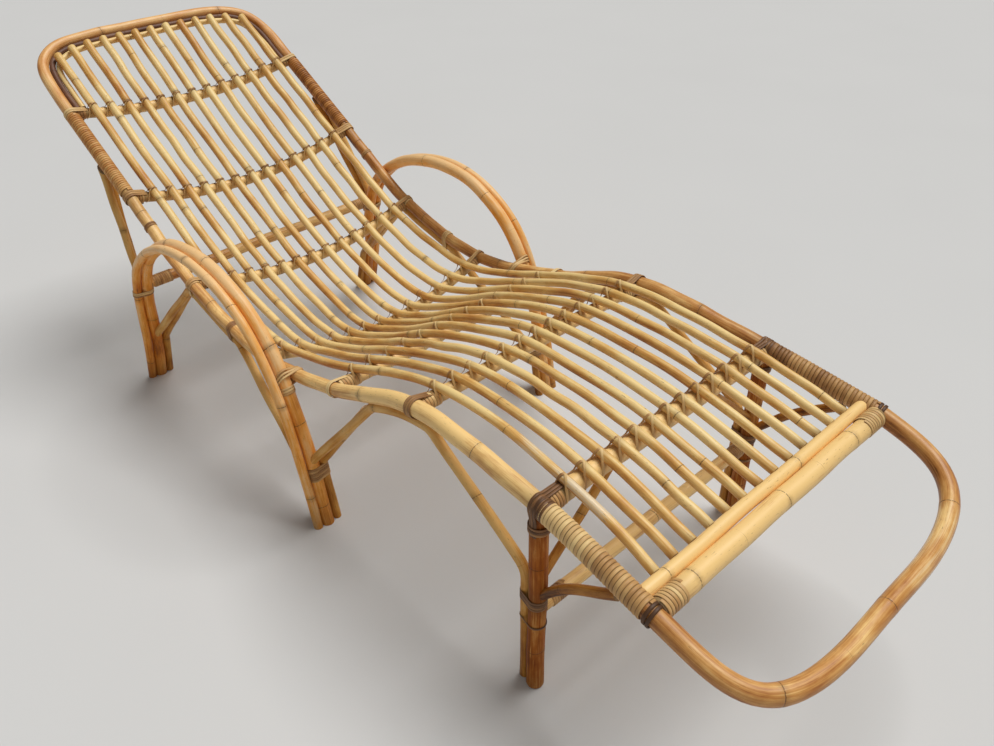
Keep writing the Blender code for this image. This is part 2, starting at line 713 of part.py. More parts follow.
def make_legs(frame, post, tool):
    """The front legs, their foot braces and sideways diagonals."""
    rail = frame.at(post[0])[0]
    head = rail[2] - BAR_D / 2.0 - 2.0 * GAP
    front = post + np.array(((POST_D / 2.0 + GAP), 0.0, 0.0))
    low = post + (0.0, 0.0, FOOT_BRACE_BOTTOM)
    high_x = post[0] + FOOT_BRACE_RUN
    splice, direction = frame.at(high_x)
    high = splice - upright(direction) * (frame.binding_radius(high_x) + FOOT_BRACE_D / 2.0 + GAP)
    knuckle = low + (high - low) * FOOT_BRACE_KNUCKLE
    foot_brace = thin(smooth([low, knuckle, high]))

    inner = post - ACROSS * (POST_D / 2.0 + GAP)
    bottom = post + (0.0, 0.0, DIAGONAL_BOTTOM)
    top = bar_point(LEG_BAR, post[1] - DIAGONAL_ACROSS)
    below_bar = np.array((0.0, 0.0, top[2] - LEG_BAR.d / 2.0 - GAP))
    for side in SIDES:
        leg = on_side(side, [post, post + (0.0, 0.0, head)])
        cope(cane(f"front_leg_{side}", leg, POST_D, "leg_cane"), tool)
        cane(f"foot_brace_{side}", on_side(side, foot_brace), FOOT_BRACE_D, "brace_cane",
             ((front, np.array((-1.0, 0.0, 0.0))),))
        cuts = ((on_side(side, inner), on_side(side, ACROSS)), (below_bar, np.array((0.0, 0.0, 1.0))))
        cane(f"leg_diagonal_{side}", on_side(side, [bottom, top]), DIAGONAL_D, "brace_cane", cuts)


def make_stretchers(arm, post, post_tool):
    """The stretchers between the rear legs and between the front legs, coped to them."""
    hoops = [on_side(side, arm.route + ACROSS * arm.y) for side in SIDES]
    hoop_tool = cutter("hoop_cutter", hoops, ARM_D)
    rear = arm.leg_at(arm.rear_leg, REAR_STRETCHER_Z)[0]
    front = post + (0.0, 0.0, FRONT_STRETCHER_Z)
    for name, end, tool in (("rear_stretcher", rear, hoop_tool), ("front_stretcher", front, post_tool)):
        route = np.array((on_side("right", end), end))
        cope(cane(name, route, STRETCHER_D, "rail_cane"), tool)


def main():
    """Builds the chaise."""
    for old in list(bpy.data.objects):
        bpy.data.objects.remove(old)
    chaise = bpy.data.objects.new("chaise_longue", None)
    bpy.context.collection.objects.link(chaise)

    frame = Frame()
    arm = Arm(frame)
    post_x = LEG_BAR.x + POST_AHEAD
    post = np.array((post_x, frame.at(post_x)[0][1], 0.0))
    head_half = frame.head[COPED_POINTS:0:-1]
    halves = [on_side(side, np.vstack((head_half, frame.side, frame.foot[side][1:COPED_POINTS])))
              for side in SIDES]
    rail_tool = cutter("rail_cutter", halves, frame.rail_d(halves[0][:, 0]), FINE_STEPS)
    posts = [on_side(side, [post, post + (0.0, 0.0, LEG_BAR.z)]) for side in SIDES]
    post_tool = cutter("post_cutter", posts, POST_D)

    make_frame(frame)
    make_bindings(frame)
    inner = make_head_canes(frame)
    end_bar = make_crossbars(frame, rail_tool, post_tool)
    make_slats(frame, inner, end_bar)
    make_arms(arm)
    make_stays(frame, arm)
    make_braces(frame, arm, post)
    make_legs(frame, post, rail_tool)
    make_stretchers(arm, post, post_tool)


main()
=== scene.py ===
"""The looks of a rattan chaise longue: poles with growth rings, lashings of split peel, and a plain studio.

Metres, +Z up, +X towards the foot end, +Y to the sitter's left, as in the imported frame. Each pole stands for
the frame's node of the same name, and nothing on the chaise moves.
"""

from __future__ import annotations

import logging
import math
import random
import zlib
from dataclasses import dataclass, field
from enum import Enum
from functools import cached_property
from typing import Any, Callable, NamedTuple, Sequence

import bmesh
import bpy
import numpy as np
from mathutils import Matrix

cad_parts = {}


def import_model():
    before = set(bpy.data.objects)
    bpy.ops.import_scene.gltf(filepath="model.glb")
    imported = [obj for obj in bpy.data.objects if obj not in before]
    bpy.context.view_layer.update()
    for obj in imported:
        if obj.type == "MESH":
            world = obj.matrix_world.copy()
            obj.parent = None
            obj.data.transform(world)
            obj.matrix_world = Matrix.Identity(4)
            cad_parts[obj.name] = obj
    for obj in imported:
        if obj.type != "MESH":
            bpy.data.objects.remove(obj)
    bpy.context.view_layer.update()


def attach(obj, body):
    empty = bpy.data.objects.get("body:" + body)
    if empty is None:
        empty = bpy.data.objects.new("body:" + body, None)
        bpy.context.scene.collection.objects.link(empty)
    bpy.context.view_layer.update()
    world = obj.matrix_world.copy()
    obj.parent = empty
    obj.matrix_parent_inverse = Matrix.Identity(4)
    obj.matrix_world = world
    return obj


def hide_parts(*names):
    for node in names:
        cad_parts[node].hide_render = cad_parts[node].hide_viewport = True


LOG = logging.getLogger("chaise")

Array = np.ndarray
Colour = tuple[float, float, float]
Tones = Sequence[tuple[float, float]]
Place = tuple[float, float, float]

ACROSS = np.array((0.0, 1.0, 0.0))
ALONG = np.array((1.0, 0.0, 0.0))
UP = np.array((0.0, 0.0, 1.0))
FLAT = np.array((1.0, 0.0, 1.0))
TINY = 1e-4
NOISE_SPAN = 40.0
BEND_RADIUS = 0.035
BEND_STEP = math.radians(5.0)
BEND_SHARE = 0.45


class Side(Enum):
    """A side of the chaise, as the sitter has it, with its sign along Y."""

    RIGHT = -1.0
    LEFT = 1.0

    @property
    def tag(self) -> str:
        """The word for the side in a piece's name."""
        return self.name.lower()

    def place(self, values: Any) -> Array:
        """A point, direction or line of the left side, as it is on this side."""
        return np.asarray(values, float) * (1.0, self.value, 1.0)

    def route(self, points: Any) -> Route:
        """The route on this side along a line of the left side."""
        return Route(self.place(points))


# Materials


class Signal:
    """A socket of a material's nodes, with which values are worked out as expressions."""

    def __init__(self, shading: Shading, socket: bpy.types.NodeSocket) -> None:
        """Holds the socket and the material that it belongs to."""
        self.shading = shading
        self.socket = socket

    def _math(self, operation: str, first: Value, second: Value) -> Signal:
        """A Math node on two values."""
        return self.shading.node("ShaderNodeMath", {"operation": operation}, {0: first, 1: second})

    def __add__(self, other: Value) -> Signal:
        """This plus another value."""
        return self._math("ADD", self, other)

    __radd__ = __add__

    def __sub__(self, other: Value) -> Signal:
        """This less another value."""
        return self._math("SUBTRACT", self, other)

    def __rsub__(self, other: Value) -> Signal:
        """Another value less this."""
        return self._math("SUBTRACT", other, self)

    def __mul__(self, other: Value) -> Signal:
        """This times another value."""
        return self._math("MULTIPLY", self, other)

    __rmul__ = __mul__

    def size(self) -> Signal:
        """The value without its sign."""
        return self._math("ABSOLUTE", self, 0.0)

    def most(self, other: Value) -> Signal:
        """The greater of this and another value."""
        return self._math("MAXIMUM", self, other)

    def least(self, other: Value) -> Signal:
        """The lesser of this and another value."""
        return self._math("MINIMUM", self, other)

    def rise(self, low: float, high: float) -> Signal:
        """A soft step, from 0 at the low value to 1 at the high one."""
        inputs = {"Value": self, "From Min": low, "From Max": high}
        return self.shading.node("ShaderNodeMapRange", {"interpolation_type": "SMOOTHSTEP"}, inputs)


Value = Signal | float | int | Sequence[float]


class Grain(NamedTuple):
    """A noise: its fineness round a pole and along it, per metre, its octaves and the finer ones' weight."""

    round: float
    along: float
    detail: float = 3.0
    rough: float = 0.55


class Shading:
    """The nodes of one material, or of the world."""

    def __init__(self, tree: bpy.types.NodeTree) -> None:
        """Holds the tree that the nodes go into."""
        self.tree = tree

    def feed(self, socket: bpy.types.NodeSocket, value: Value) -> None:
        """Links a signal to a socket, or sets a constant on it.

        Args:
            socket: the socket.
            value: the signal or the constant.
        """
        if isinstance(value, Signal):
            self.tree.links.new(value.socket, socket)
        elif isinstance(value, (tuple, list)) and socket.type == "RGBA":
            socket.default_value = (*value, 1.0)
        else:
            socket.default_value = value

    def node(self, kind: str, settings: dict[str, Any] | None = None,
             inputs: dict[str | int, Value] | None = None, output: str | int = 0) -> Signal:
        """Makes any node.

        Args:
            kind: the node's type.
            settings: its own settings, which are set first; "stops" are a ramp's places and colours.
            inputs: values or signals for its sockets.
            output: the socket that is handed on.

        Returns:
            The node's output.
        """
        made = self.tree.nodes.new(kind)
        for key, value in (settings or {}).items():
            if key == "stops":
                self._set_stops(made.color_ramp, value)
            else:
                setattr(made, key, value)
        for key, value in (inputs or {}).items():
            self.feed(made.inputs[key], value)
        return Signal(self, made.outputs[output])

    @staticmethod
    def _set_stops(ramp: bpy.types.ColorRamp, stops: Sequence[tuple[float, Colour]]) -> None:
        """Gives a colour ramp its places and colours.

        Args:
            ramp: the ramp.
            stops: the places and colours.
        """
        while len(ramp.elements) < len(stops):
            ramp.elements.new(1.0)
        for element, (position, colour) in zip(ramp.elements, stops):
            element.position = position
            element.color = (*colour, 1.0)

    def attribute(self, name: str, output: str = "Fac") -> Signal:
        """A value that the mesh carries at its points."""
        return self.node("ShaderNodeAttribute", {"attribute_name": name}, output=output)

    def noise(self, vector: Signal, grain: Grain) -> Signal:
        """Noise from 0 to 1.

        Args:
            vector: where it is read: round a pole by its first two axes and along it by the third.
            grain: how fine it is.

        Returns:
            The noise.
        """
        scale = (grain.round, grain.round, grain.along)
        stretched = self.node("ShaderNodeVectorMath", {"operation": "MULTIPLY"}, {0: vector, 1: scale})
        inputs = {"Vector": stretched, "Scale": 1.0, "Detail": grain.detail, "Roughness": grain.rough}
        return self.node("ShaderNodeTexNoise", {}, inputs)

    def mix(self, share: Value, first: Value, second: Value) -> Signal:
        """A colour mixed from two."""
        settings = {"data_type": "RGBA", "blend_type": "MIX", "clamp_factor": True}
        return self.node("ShaderNodeMix", settings, {0: share, 6: first, 7: second}, 2)


class Surface(Shading):
    """The nodes of a material with one glossy shader."""

    def __init__(self, name: str) -> None:
        """Makes the material.

        Args:
            name: its name.
        """
        self.material = bpy.data.materials.new(name)
        self.material.use_nodes = True
        super().__init__(self.material.node_tree)
        self.shader = self.tree.nodes["Principled BSDF"]

    def show(self, **inputs: Value) -> None:
        """Feeds the shader's sockets, named with _ for a space."""
        for key, value in inputs.items():
            self.feed(self.shader.inputs[key.replace("_", " ")], value)

    def relief(self, height: Signal, strength: float, depth: float) -> Signal:
        """The normal of a surface with a relief from 0 to 1, that deep in metres."""
        return self.node("ShaderNodeBump", {}, {"Strength": strength, "Distance": depth, "Height": height})


@dataclass(frozen=True)
class CaneFinish:
    """The skin of a rattan pole: its colours from dark to pale, its marks and its gloss."""

    slot: str
    dark: Colour
    warm: Colour
    honey: Colour
    pale: Colour
    ring: Colour = (0.11, 0.042, 0.014)
    # Dark colour of growth-ring lines, of dirt, and of painted shade where poles cross.
    stain: Colour = (0.085, 0.036, 0.014)
    rough: float = 0.42
    coat: float = 0.06
    specks: float = 0.5
    wear: float = 0.25
    patches: float = 1.15
    grain: float = 0.5
    gloss: float = 0.32
    silver: Colour = (0.78, 0.62, 0.40)

    def material(self) -> bpy.types.Material:
        """The pole's material, made from its own length and girth, its growth rings, tone, dirt and wear, and
        painted shade where it lies on or under another pole.

        Returns:
            The material.
        """
        surface = Surface(self.slot + "_skin")
        place = surface.attribute("place", "Vector")
        tone = surface.attribute("tone")
        knot = surface.attribute("knot")
        grime = surface.attribute("grime")
        fibres = surface.noise(place, Grain(1500.0, 22.0, 3.0, 0.6))
        streaks = surface.noise(place, Grain(330.0, 7.0))
        patches = surface.noise(place, Grain(46.0, 15.0, 4.0, 0.6))
        dots = surface.noise(place, Grain(540.0, 105.0, 2.0, 0.5))
        scars = surface.noise(place, Grain(900.0, 28.0, 2.0, 0.4))

        depth = tone * 0.5 + (patches - 0.5) * self.patches + (streaks - 0.5) * self.grain
        depth = depth + (fibres - 0.5) * 0.6
        stops = ((0.06, self.dark), (0.34, self.warm), (0.60, self.honey), (0.94, self.pale))
        colour = surface.node("ShaderNodeValToRGB", {"stops": stops}, {"Fac": depth + 0.55})

        ragged = (knot + (streaks - 0.5) * 0.0016).size()
        line = (1.0 - ragged.rise(0.0002, 0.0010)) * dots.rise(0.30, 0.52)
        halo = (1.0 - ragged.rise(0.001, 0.010)) * patches.rise(0.40, 0.66)
        specks = dots.rise(0.62, 0.76) * patches.rise(0.42, 0.60) * self.specks
        bare = scars.rise(0.58, 0.70) * streaks.rise(0.46, 0.62) * self.wear
        # Dirt, and painted shade where one pole lies on another, darken the skin; below zero the skin is worn
        # pale.
        soil_and_shade = (grime * (0.55 + patches * 0.9)).least(1.0)
        weathered = (grime * (streaks * -1.6)).rise(0.42, 0.95)
        colour = surface.mix(bare, colour, self.pale)
        colour = surface.mix(weathered, colour, self.silver)
        colour = surface.mix(specks, colour, self.ring)
        colour = surface.mix(halo * 0.4, colour, self.ring)
        colour = surface.mix(line * 0.8, colour, self.stain)
        colour = surface.mix(soil_and_shade * 0.8, colour, self.stain)

        gloss = self.rough + (fibres - 0.5) * 0.22 + specks * 0.12 + soil_and_shade * 0.22 + bare * 0.15
        height = fibres * 0.35 + streaks * 0.35 - line * 0.9 - specks * 0.25 - bare * 0.2
        surface.show(Base_Color=colour, Roughness=gloss, Specular_IOR_Level=self.gloss, Coat_Weight=self.coat,
                     Coat_Roughness=0.28, Normal=surface.relief(height, 0.55, 0.0007))
        return surface.material


@dataclass(frozen=True)
class PeelFinish:
    """A flat strip of split peel, wound or tied: its colours from dark to pale."""

    slot: str
    dark: Colour
    brown: Colour
    tan: Colour
    cream: Colour
    edge: Colour = (0.045, 0.022, 0.010)
    rough: float = 0.50

    def material(self) -> bpy.types.Material:
        """The strip's material, darker along its two edges and streaked along its length.

        Returns:
            The material.
        """
        surface = Surface(self.slot + "_strip")
        place = surface.attribute("place", "Vector")
        tone = surface.attribute("tone")
        across = surface.attribute("knot").size()
        streaks = surface.noise(place, Grain(2100.0, 40.0, 3.0, 0.6))
        patches = surface.noise(place, Grain(90.0, 26.0))
        depth = tone * 0.5 + (patches - 0.5) * 0.55 + (streaks - 0.5) * 0.45
        stops = ((0.08, self.dark), (0.34, self.brown), (0.62, self.tan), (0.94, self.cream))
        colour = surface.node("ShaderNodeValToRGB", {"stops": stops}, {"Fac": depth + 0.5})
        rim = (across + (streaks - 0.5) * 0.16).rise(0.80, 1.02)
        colour = surface.mix(rim * 0.7, colour, self.edge)
        gloss = self.rough + (streaks - 0.5) * 0.25
        height = streaks * 0.5 - rim * 0.5
        surface.show(Base_Color=colour, Roughness=gloss, Specular_IOR_Level=0.3,
                     Normal=surface.relief(height, 0.5, 0.0004))
        return surface.material


@dataclass(frozen=True)
class EndGrainFinish:
    """The sawn end of a pole: pale pith with open pores, greyed by age."""

    slot: str = "sawn_end"
    pith: Colour = (0.36, 0.245, 0.135)
    pore: Colour = (0.060, 0.030, 0.014)

    def material(self) -> bpy.types.Material:
        """The sawn end's material.

        Returns:
            The material.
        """
        surface = Surface(self.slot + "_grain")
        where = surface.node("ShaderNodeTexCoord", output="Object")
        pores = surface.node("ShaderNodeTexVoronoi", {}, {"Vector": where, "Scale": 1150.0}, "Distance")
        blotch = surface.noise(where, Grain(160.0, 160.0))
        holes = 1.0 - pores.rise(0.16, 0.34)
        colour = surface.mix((holes * 0.75 + (blotch - 0.5) * 0.8).most(0.0), self.pith, self.pore)
        surface.show(Base_Color=colour, Roughness=0.8, Normal=surface.relief(pores, 0.5, 0.0004))
        return surface.material


@dataclass(frozen=True)
class NailFinish:
    """The rusted head of a thin nail."""

    slot: str = "nail"
    iron: Colour = (0.055, 0.042, 0.034)
    rust: Colour = (0.11, 0.045, 0.018)

    def material(self) -> bpy.types.Material:
        """The nail head's material.

        Returns:
            The material.
        """
        surface = Surface(self.slot + "_iron")
        where = surface.node("ShaderNodeTexCoord", output="Object")
        bloom = surface.noise(where, Grain(700.0, 700.0))
        colour = surface.mix(bloom.rise(0.4, 0.62), self.iron, self.rust)
        surface.show(Base_Color=colour, Metallic=0.65 - bloom * 0.5, Roughness=0.45 + bloom * 0.35)
        return surface.material


@dataclass(frozen=True)
class FloorFinish:
    """A plain pale floor."""

    slot: str = "studio"
    tint: Colour = (0.64, 0.635, 0.62)
    shade: Colour = (0.61, 0.605, 0.59)

    def material(self) -> bpy.types.Material:
        """The floor's material.

        Returns:
            The material.
        """
        surface = Surface(self.slot + "_floor")
        where = surface.node("ShaderNodeTexCoord", output="Object")
        cloud = surface.noise(where, Grain(1.6, 1.6, 2.0))
        surface.show(Base_Color=surface.mix(cloud, self.tint, self.shade), Roughness=0.85)
        return surface.material


class Finish(Enum):
    """The finishes on the chaise."""

    RAIL = CaneFinish("rail_cane", (0.110, 0.034, 0.008), (0.42, 0.155, 0.034), (0.63, 0.310, 0.088),
                      (0.94, 0.630, 0.250), grain=0.7)
    BOW = CaneFinish("rail_cane", (0.110, 0.030, 0.006), (0.50, 0.180, 0.036), (0.75, 0.365, 0.120),
                     (0.92, 0.580, 0.240), grain=0.8)
    SLAT = CaneFinish("slat_cane", (0.170, 0.056, 0.012), (0.54, 0.225, 0.050), (0.73, 0.415, 0.115),
                      (0.90, 0.655, 0.275), specks=0.65, grain=0.7)
    ARM = CaneFinish("arm_cane", (0.150, 0.040, 0.005), (0.62, 0.190, 0.016), (0.86, 0.370, 0.056),
                     (0.92, 0.585, 0.270), gloss=0.24)
    BRACE = CaneFinish("brace_cane", (0.080, 0.024, 0.004), (0.36, 0.130, 0.014), (0.58, 0.265, 0.044),
                       (0.74, 0.450, 0.150), rough=0.48, gloss=0.2)
    LEG = CaneFinish("leg_cane", (0.060, 0.012, 0.001), (0.22, 0.050, 0.003), (0.38, 0.105, 0.008),
                     (0.62, 0.300, 0.080), rough=0.52, coat=0.0, wear=0.9, grain=0.9, gloss=0.12)
    LINER = CaneFinish("liner_cane", (0.030, 0.013, 0.008), (0.085, 0.033, 0.018), (0.14, 0.060, 0.032),
                       (0.24, 0.120, 0.070), rough=0.5, coat=0.0)
    TAN_PEEL = PeelFinish("tan_peel", (0.085, 0.038, 0.016), (0.27, 0.125, 0.045), (0.54, 0.300, 0.110),
                          (0.82, 0.580, 0.260))
    BROWN_PEEL = PeelFinish("brown_peel", (0.070, 0.022, 0.006), (0.270, 0.090, 0.018), (0.54, 0.225, 0.056),
                            (0.74, 0.440, 0.160))
    END = EndGrainFinish()
    NAIL = NailFinish()
    FLOOR = FloorFinish()

    def material(self) -> bpy.types.Material:
        """The finish's material, made when it is first asked for.

        Returns:
            The material.
        """
        for made in bpy.data.materials:
            if made.get("finish") == self.name:
                return made
        made = self.value.material()
        made["finish"] = self.name
        return made


# Lines that the poles follow


def unit(vector: Array) -> Array:
    """The vector at length one."""
    return vector / np.linalg.norm(vector)


def angle_between(first: Array, second: Array) -> float:
    """The angle between two directions."""
    return math.acos(float(np.clip(np.dot(unit(first), unit(second)), -1.0, 1.0)))


def upright(direction: Array) -> Array:
    """The normal of a direction in its upright plane along X: turned a quarter turn, so +X gives +Z."""
    return unit(np.array((-direction[2], 0.0, direction[0])))


def smooth(points: Any, steps: int = 24) -> Array:
    """A centripetal Catmull-Rom curve.

    Args:
        points: the points that it passes through.
        steps: the number of pieces between two of them.

    Returns:
        The points of the curve.
    """
    knots = np.asarray(points, float)
    padded = np.vstack((2.0 * knots[0] - knots[1], knots, 2.0 * knots[-1] - knots[-2]))
    gaps = np.sqrt(np.linalg.norm(np.diff(padded, axis=0), axis=1))
    shares = np.linspace(0.0, 1.0, steps + 1)[1:, None]
    curve = [knots[:1]]
    for i in range(len(knots) - 1):
        a, b, c, d = padded[i:i + 4]
        before, here, after = gaps[i:i + 3]
        leave = (b - a) / before - (c - a) / (before + here) + (c - b) / here
        arrive = (c - b) / here - (d - b) / (here + after) + (d - c) / after
        pull = here * (shares * (1.0 - shares) ** 2 * leave - shares ** 2 * (1.0 - shares) * arrive)
        curve.append(b + (c - b) * shares ** 2 * (3.0 - 2.0 * shares) + pull)
    return np.vstack(curve)


def bend(corners: Sequence[Array]) -> Array:
    """A route with its sharp corners rounded, the less where a run is too short.

    Args:
        corners: the route's corners.

    Returns:
        The points of the route.
    """
    corners = [np.asarray(corner, float) for corner in corners]
    route = [corners[0]]
    for before, corner, after in zip(corners, corners[1:], corners[2:]):
        back = unit(before - corner)
        ahead = unit(after - corner)
        turn = math.pi - angle_between(back, ahead)
        if turn < 2.0 * BEND_STEP:
            route.append(corner)
            continue
        shortest = min(np.linalg.norm(before - corner), np.linalg.norm(after - corner))
        fitted = min(BEND_RADIUS, BEND_SHARE * shortest / math.tan(turn / 2.0))
        inward = unit(back + ahead)
        sideways = unit(ahead - back)
        middle = corner + inward * fitted / math.cos(turn / 2.0)
        for t in np.linspace(-turn / 2.0, turn / 2.0, math.ceil(turn / BEND_STEP) + 1):
            route.append(middle + fitted * (sideways * math.sin(t) - inward * math.cos(t)))
    route.append(corners[-1])
    return np.array(route)


class Route:
    """A fine line that a pole or a strip of peel follows."""

    def __init__(self, points: Any) -> None:
        """Works out how far along each point lies.

        Args:
            points: the points.
        """
        self.points = np.asarray(points, float)
        steps = np.linalg.norm(np.diff(self.points, axis=0), axis=1)
        self.marks = np.concatenate(((0.0,), np.cumsum(steps)))

    @property
    def length(self) -> float:
        """The route's whole length."""
        return float(self.marks[-1])

    def at(self, distance: Any) -> Array:
        """The point, or points, at a distance along the route."""
        return np.stack([np.interp(distance, self.marks, self.points[:, axis]) for axis in range(3)], -1)

    def heading(self, distance: float, reach: float = 0.003) -> Array:
        """The route's direction at a distance along it."""
        return unit(self.at(min(distance + reach, self.length)) - self.at(max(distance - reach, 0.0)))

    def part(self, start: float, end: float) -> Array:
        """The points of the route between two distances along it."""
        inner = self.points[(self.marks > start + TINY) & (self.marks < end - TINY)]
        return np.vstack((self.at(start), inner, self.at(end)))

    def mark(self, value: float, axis: int = 0) -> float:
        """How far along a rising route a coordinate lies."""
        return float(np.interp(value, self.points[:, axis], self.marks))

    def nearest(self, point: Array) -> float:
        """How far along the route its nearest point to another lies."""
        return float(self.marks[int(np.argmin(np.linalg.norm(self.points - point, axis=1)))])

    def cross(self, origin: Array, normal: Array) -> tuple[Array, Array]:
        """Where the route passes through a plane.

        Args:
            origin: a point of the plane; the crossing next to it counts.
            normal: the plane's normal.

        Returns:
            The crossing, and the route's direction there. A route that stops short is drawn out.
        """
        heights = (self.points - origin) @ normal
        spans = np.nonzero(heights[:-1] * heights[1:] <= 0.0)[0]
        if len(spans) == 0:
            spans = np.array((0 if abs(heights[0]) < abs(heights[-1]) else len(heights) - 2,))
        middles = (self.points[spans] + self.points[spans + 1]) / 2.0
        span = int(spans[np.argmin(np.linalg.norm(middles - origin, axis=1))])
        ahead = self.points[span + 1] - self.points[span]
        slope = float(ahead @ normal)
        share = -heights[span] / slope if abs(slope) > 1e-9 else 0.5
        return self.points[span] + ahead * share, unit(ahead)


class Cut(NamedTuple):
    """A flat cut through a pole: a point of it, and the normal of the side that is taken off."""

    point: Array
    normal: Array


FLOOR_CUT = Cut(np.zeros(3), -UP)


@dataclass(frozen=True)
class Bar:
    """A crossbar: its station on the rails' axis, the frame's half width there, its sag and its thickness.

    A thicker bar lies a little ahead of its station and below it.
    """

    name: str
    x: float
    z: float
    half: float
    sag: float = 0.0
    width: float = 0.020
    ahead: float = 0.0
    below: float = 0.0

    POINTS = 61

    def at(self, y: float) -> Array:
        """A point on the bar's axis, which hangs in a bow by its sag."""
        bow = self.sag * (1.0 - (y / self.half) ** 2)
        return np.array((self.x + self.ahead, y, self.z - self.below - bow))

    def slope(self, y: float) -> Array:
        """The direction of the bar's axis."""
        return unit(np.array((0.0, 1.0, 2.0 * self.sag * y / self.half ** 2)))

    def route(self) -> Route:
        """The bar's axis from rail to rail."""
        return Route([self.at(y) for y in np.linspace(-self.half, self.half, self.POINTS)])


@dataclass
class Lines:
    """The lines of the frame, worked out from its sizes for the left side."""

    gap: float = 0.0003
    back_rail: float = 0.023
    rail: float = 0.027
    slat: float = 0.017
    slat_foot: float = 0.0145
    slat_end: float = 0.020
    liner: float = 0.012
    arm: float = 0.024
    rim: float = 0.017
    stay: float = 0.015
    brace: float = 0.016
    post: float = 0.027
    foot_brace: float = 0.015
    diagonal: float = 0.014
    stretcher: float = 0.023
    head_lean: float = math.radians(29.39)
    head_reach: float = 0.197
    head_square: float = 4.6
    foot_reach: float = 0.178
    foot_square_left: float = 3.2
    foot_square_right: float = 4.6
    foot_slope: float = math.radians(-14.0)
    head_splice: float = 0.115
    foot_splice: float = 0.085
    scarf_tilt: float = math.radians(68.0)
    scarf_over: float = 0.006
    slat_count: int = 13
    slat_edge: float = 0.045
    post_ahead: float = 0.008
    below_floor: float = 0.030
    arm_y: float = 0.28628
    bars: tuple[Bar, ...] = (
        Bar("back_crossbar_upper", -0.764, 0.540, 0.262, 0.028),
        Bar("back_crossbar_middle", -0.559, 0.425, 0.262, 0.042),
        Bar("back_crossbar_lower", -0.353, 0.314, 0.262, 0.046),
        Bar("seat_crossbar_rear", -0.117, 0.266, 0.262, 0.058),
        Bar("seat_crossbar_middle", 0.112, 0.313, 0.262),
        Bar("knee_crossbar", 0.306, 0.381, 0.253, 0.0, 0.0225, 0.003, 0.003),
        Bar("leg_crossbar", 0.558, 0.369, 0.257, 0.0, 0.030, 0.007, 0.005),
        Bar("foot_crossbar", 0.761, 0.339, 0.270, width=0.030),
    )
    arm_route: tuple[tuple[float, float], ...] = (
        (-0.581, 0.000), (-0.549, 0.120), (-0.537, 0.215), (-0.495, 0.309), (-0.378, 0.395),
        (-0.238, 0.422), (-0.133, 0.402), (-0.038, 0.331), (0.025, 0.191), (0.066, 0.000))

    BOW_TURNS = 600
    BOW_POINTS = 90
    UNDER_POINTS = 9
    LEG_POINTS = 12

    def bar(self, name: str) -> Bar:
        """The crossbar of that name."""
        return next(bar for bar in self.bars if bar.name == name)

    @cached_property
    def side(self) -> Route:
        """The rail's axis between the end crossbars."""
        return Route(smooth([(bar.x, bar.half, bar.z) for bar in self.bars]))

    @cached_property
    def up(self) -> Array:
        """The direction in which the head bow rises."""
        return np.array((-math.cos(self.head_lean), 0.0, math.sin(self.head_lean)))

    @cached_property
    def out(self) -> Array:
        """The direction in which the foot bow reaches out."""
        return np.array((math.cos(self.foot_slope), 0.0, math.sin(self.foot_slope)))

    def half_bow(self, bar: Bar, direction: Array, reach: float, square: float) -> Array:
        """Half a bow, from the crossbar's end to the middle: a quarter of a superellipse.

        Args:
            bar: the crossbar that it starts from.
            direction: where it reaches to.
            reach: how far it reaches.
            square: how square its corner is.

        Returns:
            The points of the half bow, evenly apart.
        """
        turns = np.linspace(0.0, math.pi / 2.0, self.BOW_TURNS)
        outward = reach * np.sin(turns) ** (2.0 / square)
        sideways = bar.half * np.cos(turns) ** (2.0 / square)
        sideways[-1] = 0.0
        base = np.array((bar.x, 0.0, bar.z))
        fine = Route(base + np.outer(outward, direction) + np.outer(sideways, ACROSS))
        return fine.at(np.linspace(0.0, fine.length, self.BOW_POINTS))

    @cached_property
    def head(self) -> Array:
        """The left half of the head bow."""
        return self.half_bow(self.bars[0], self.up, self.head_reach, self.head_square)

    @cached_property
    def foot(self) -> dict[Side, Array]:
        """The halves of the foot bow, which is rounder on the left, both drawn on the left."""
        squares = ((Side.LEFT, self.foot_square_left), (Side.RIGHT, self.foot_square_right))
        return {side: self.half_bow(self.bars[-1], self.out, self.foot_reach, square)
                for side, square in squares}

    @cached_property
    def outline(self) -> Route:
        """The left half of the whole frame, from the middle of the head bow to the middle of the foot bow."""
        return Route(np.vstack((self.head[::-1], self.side.points[1:], self.foot[Side.LEFT][1:])))

    def outline_mark(self, distance: float) -> float:
        """How far along the outline a distance along the rail lies."""
        return Route(self.head).length + distance

    def rail_width(self, point: Array) -> float:
        """The rail's diameter, which tapers towards the head from the knee to the seat."""
        taper = (self.bar("seat_crossbar_middle").x, self.bar("knee_crossbar").x)
        return float(np.interp(point[0], taper, (self.back_rail, self.rail)))

    def splice(self, at: float) -> tuple[Array, Array, float]:
        """A scarf on the rail.

        Args:
            at: how far along the rail its middle lies.

        Returns:
            Its middle, its normal and half its length.
        """
        point = self.side.at(at)
        ahead = unit(self.side.heading(at) * FLAT)
        facing = math.cos(self.scarf_tilt) * ahead + math.sin(self.scarf_tilt) * upright(ahead)
        lap = self.rail_width(point) * math.tan(self.scarf_tilt) / 2.0 + self.scarf_over
        return point, facing, lap

    @property
    def foot_splice_at(self) -> float:
        """How far along the rail the foot splice lies."""
        return self.side.mark(self.bar("leg_crossbar").x) + self.foot_splice

    @cached_property
    def end_bar(self) -> Bar:
        """The cane behind the foot crossbar, which the slats end against, as a crossbar."""
        foot = self.bars[-1]
        apart = (foot.width + self.slat_end) / 2.0 + self.gap
        behind = np.array((foot.x, 0.0, foot.z)) - self.out * apart
        half = float(self.side.at(self.side.mark(behind[0]))[1])
        return Bar("slat_end_cane", float(behind[0]), float(behind[2]), half, 0.0, self.slat_end)

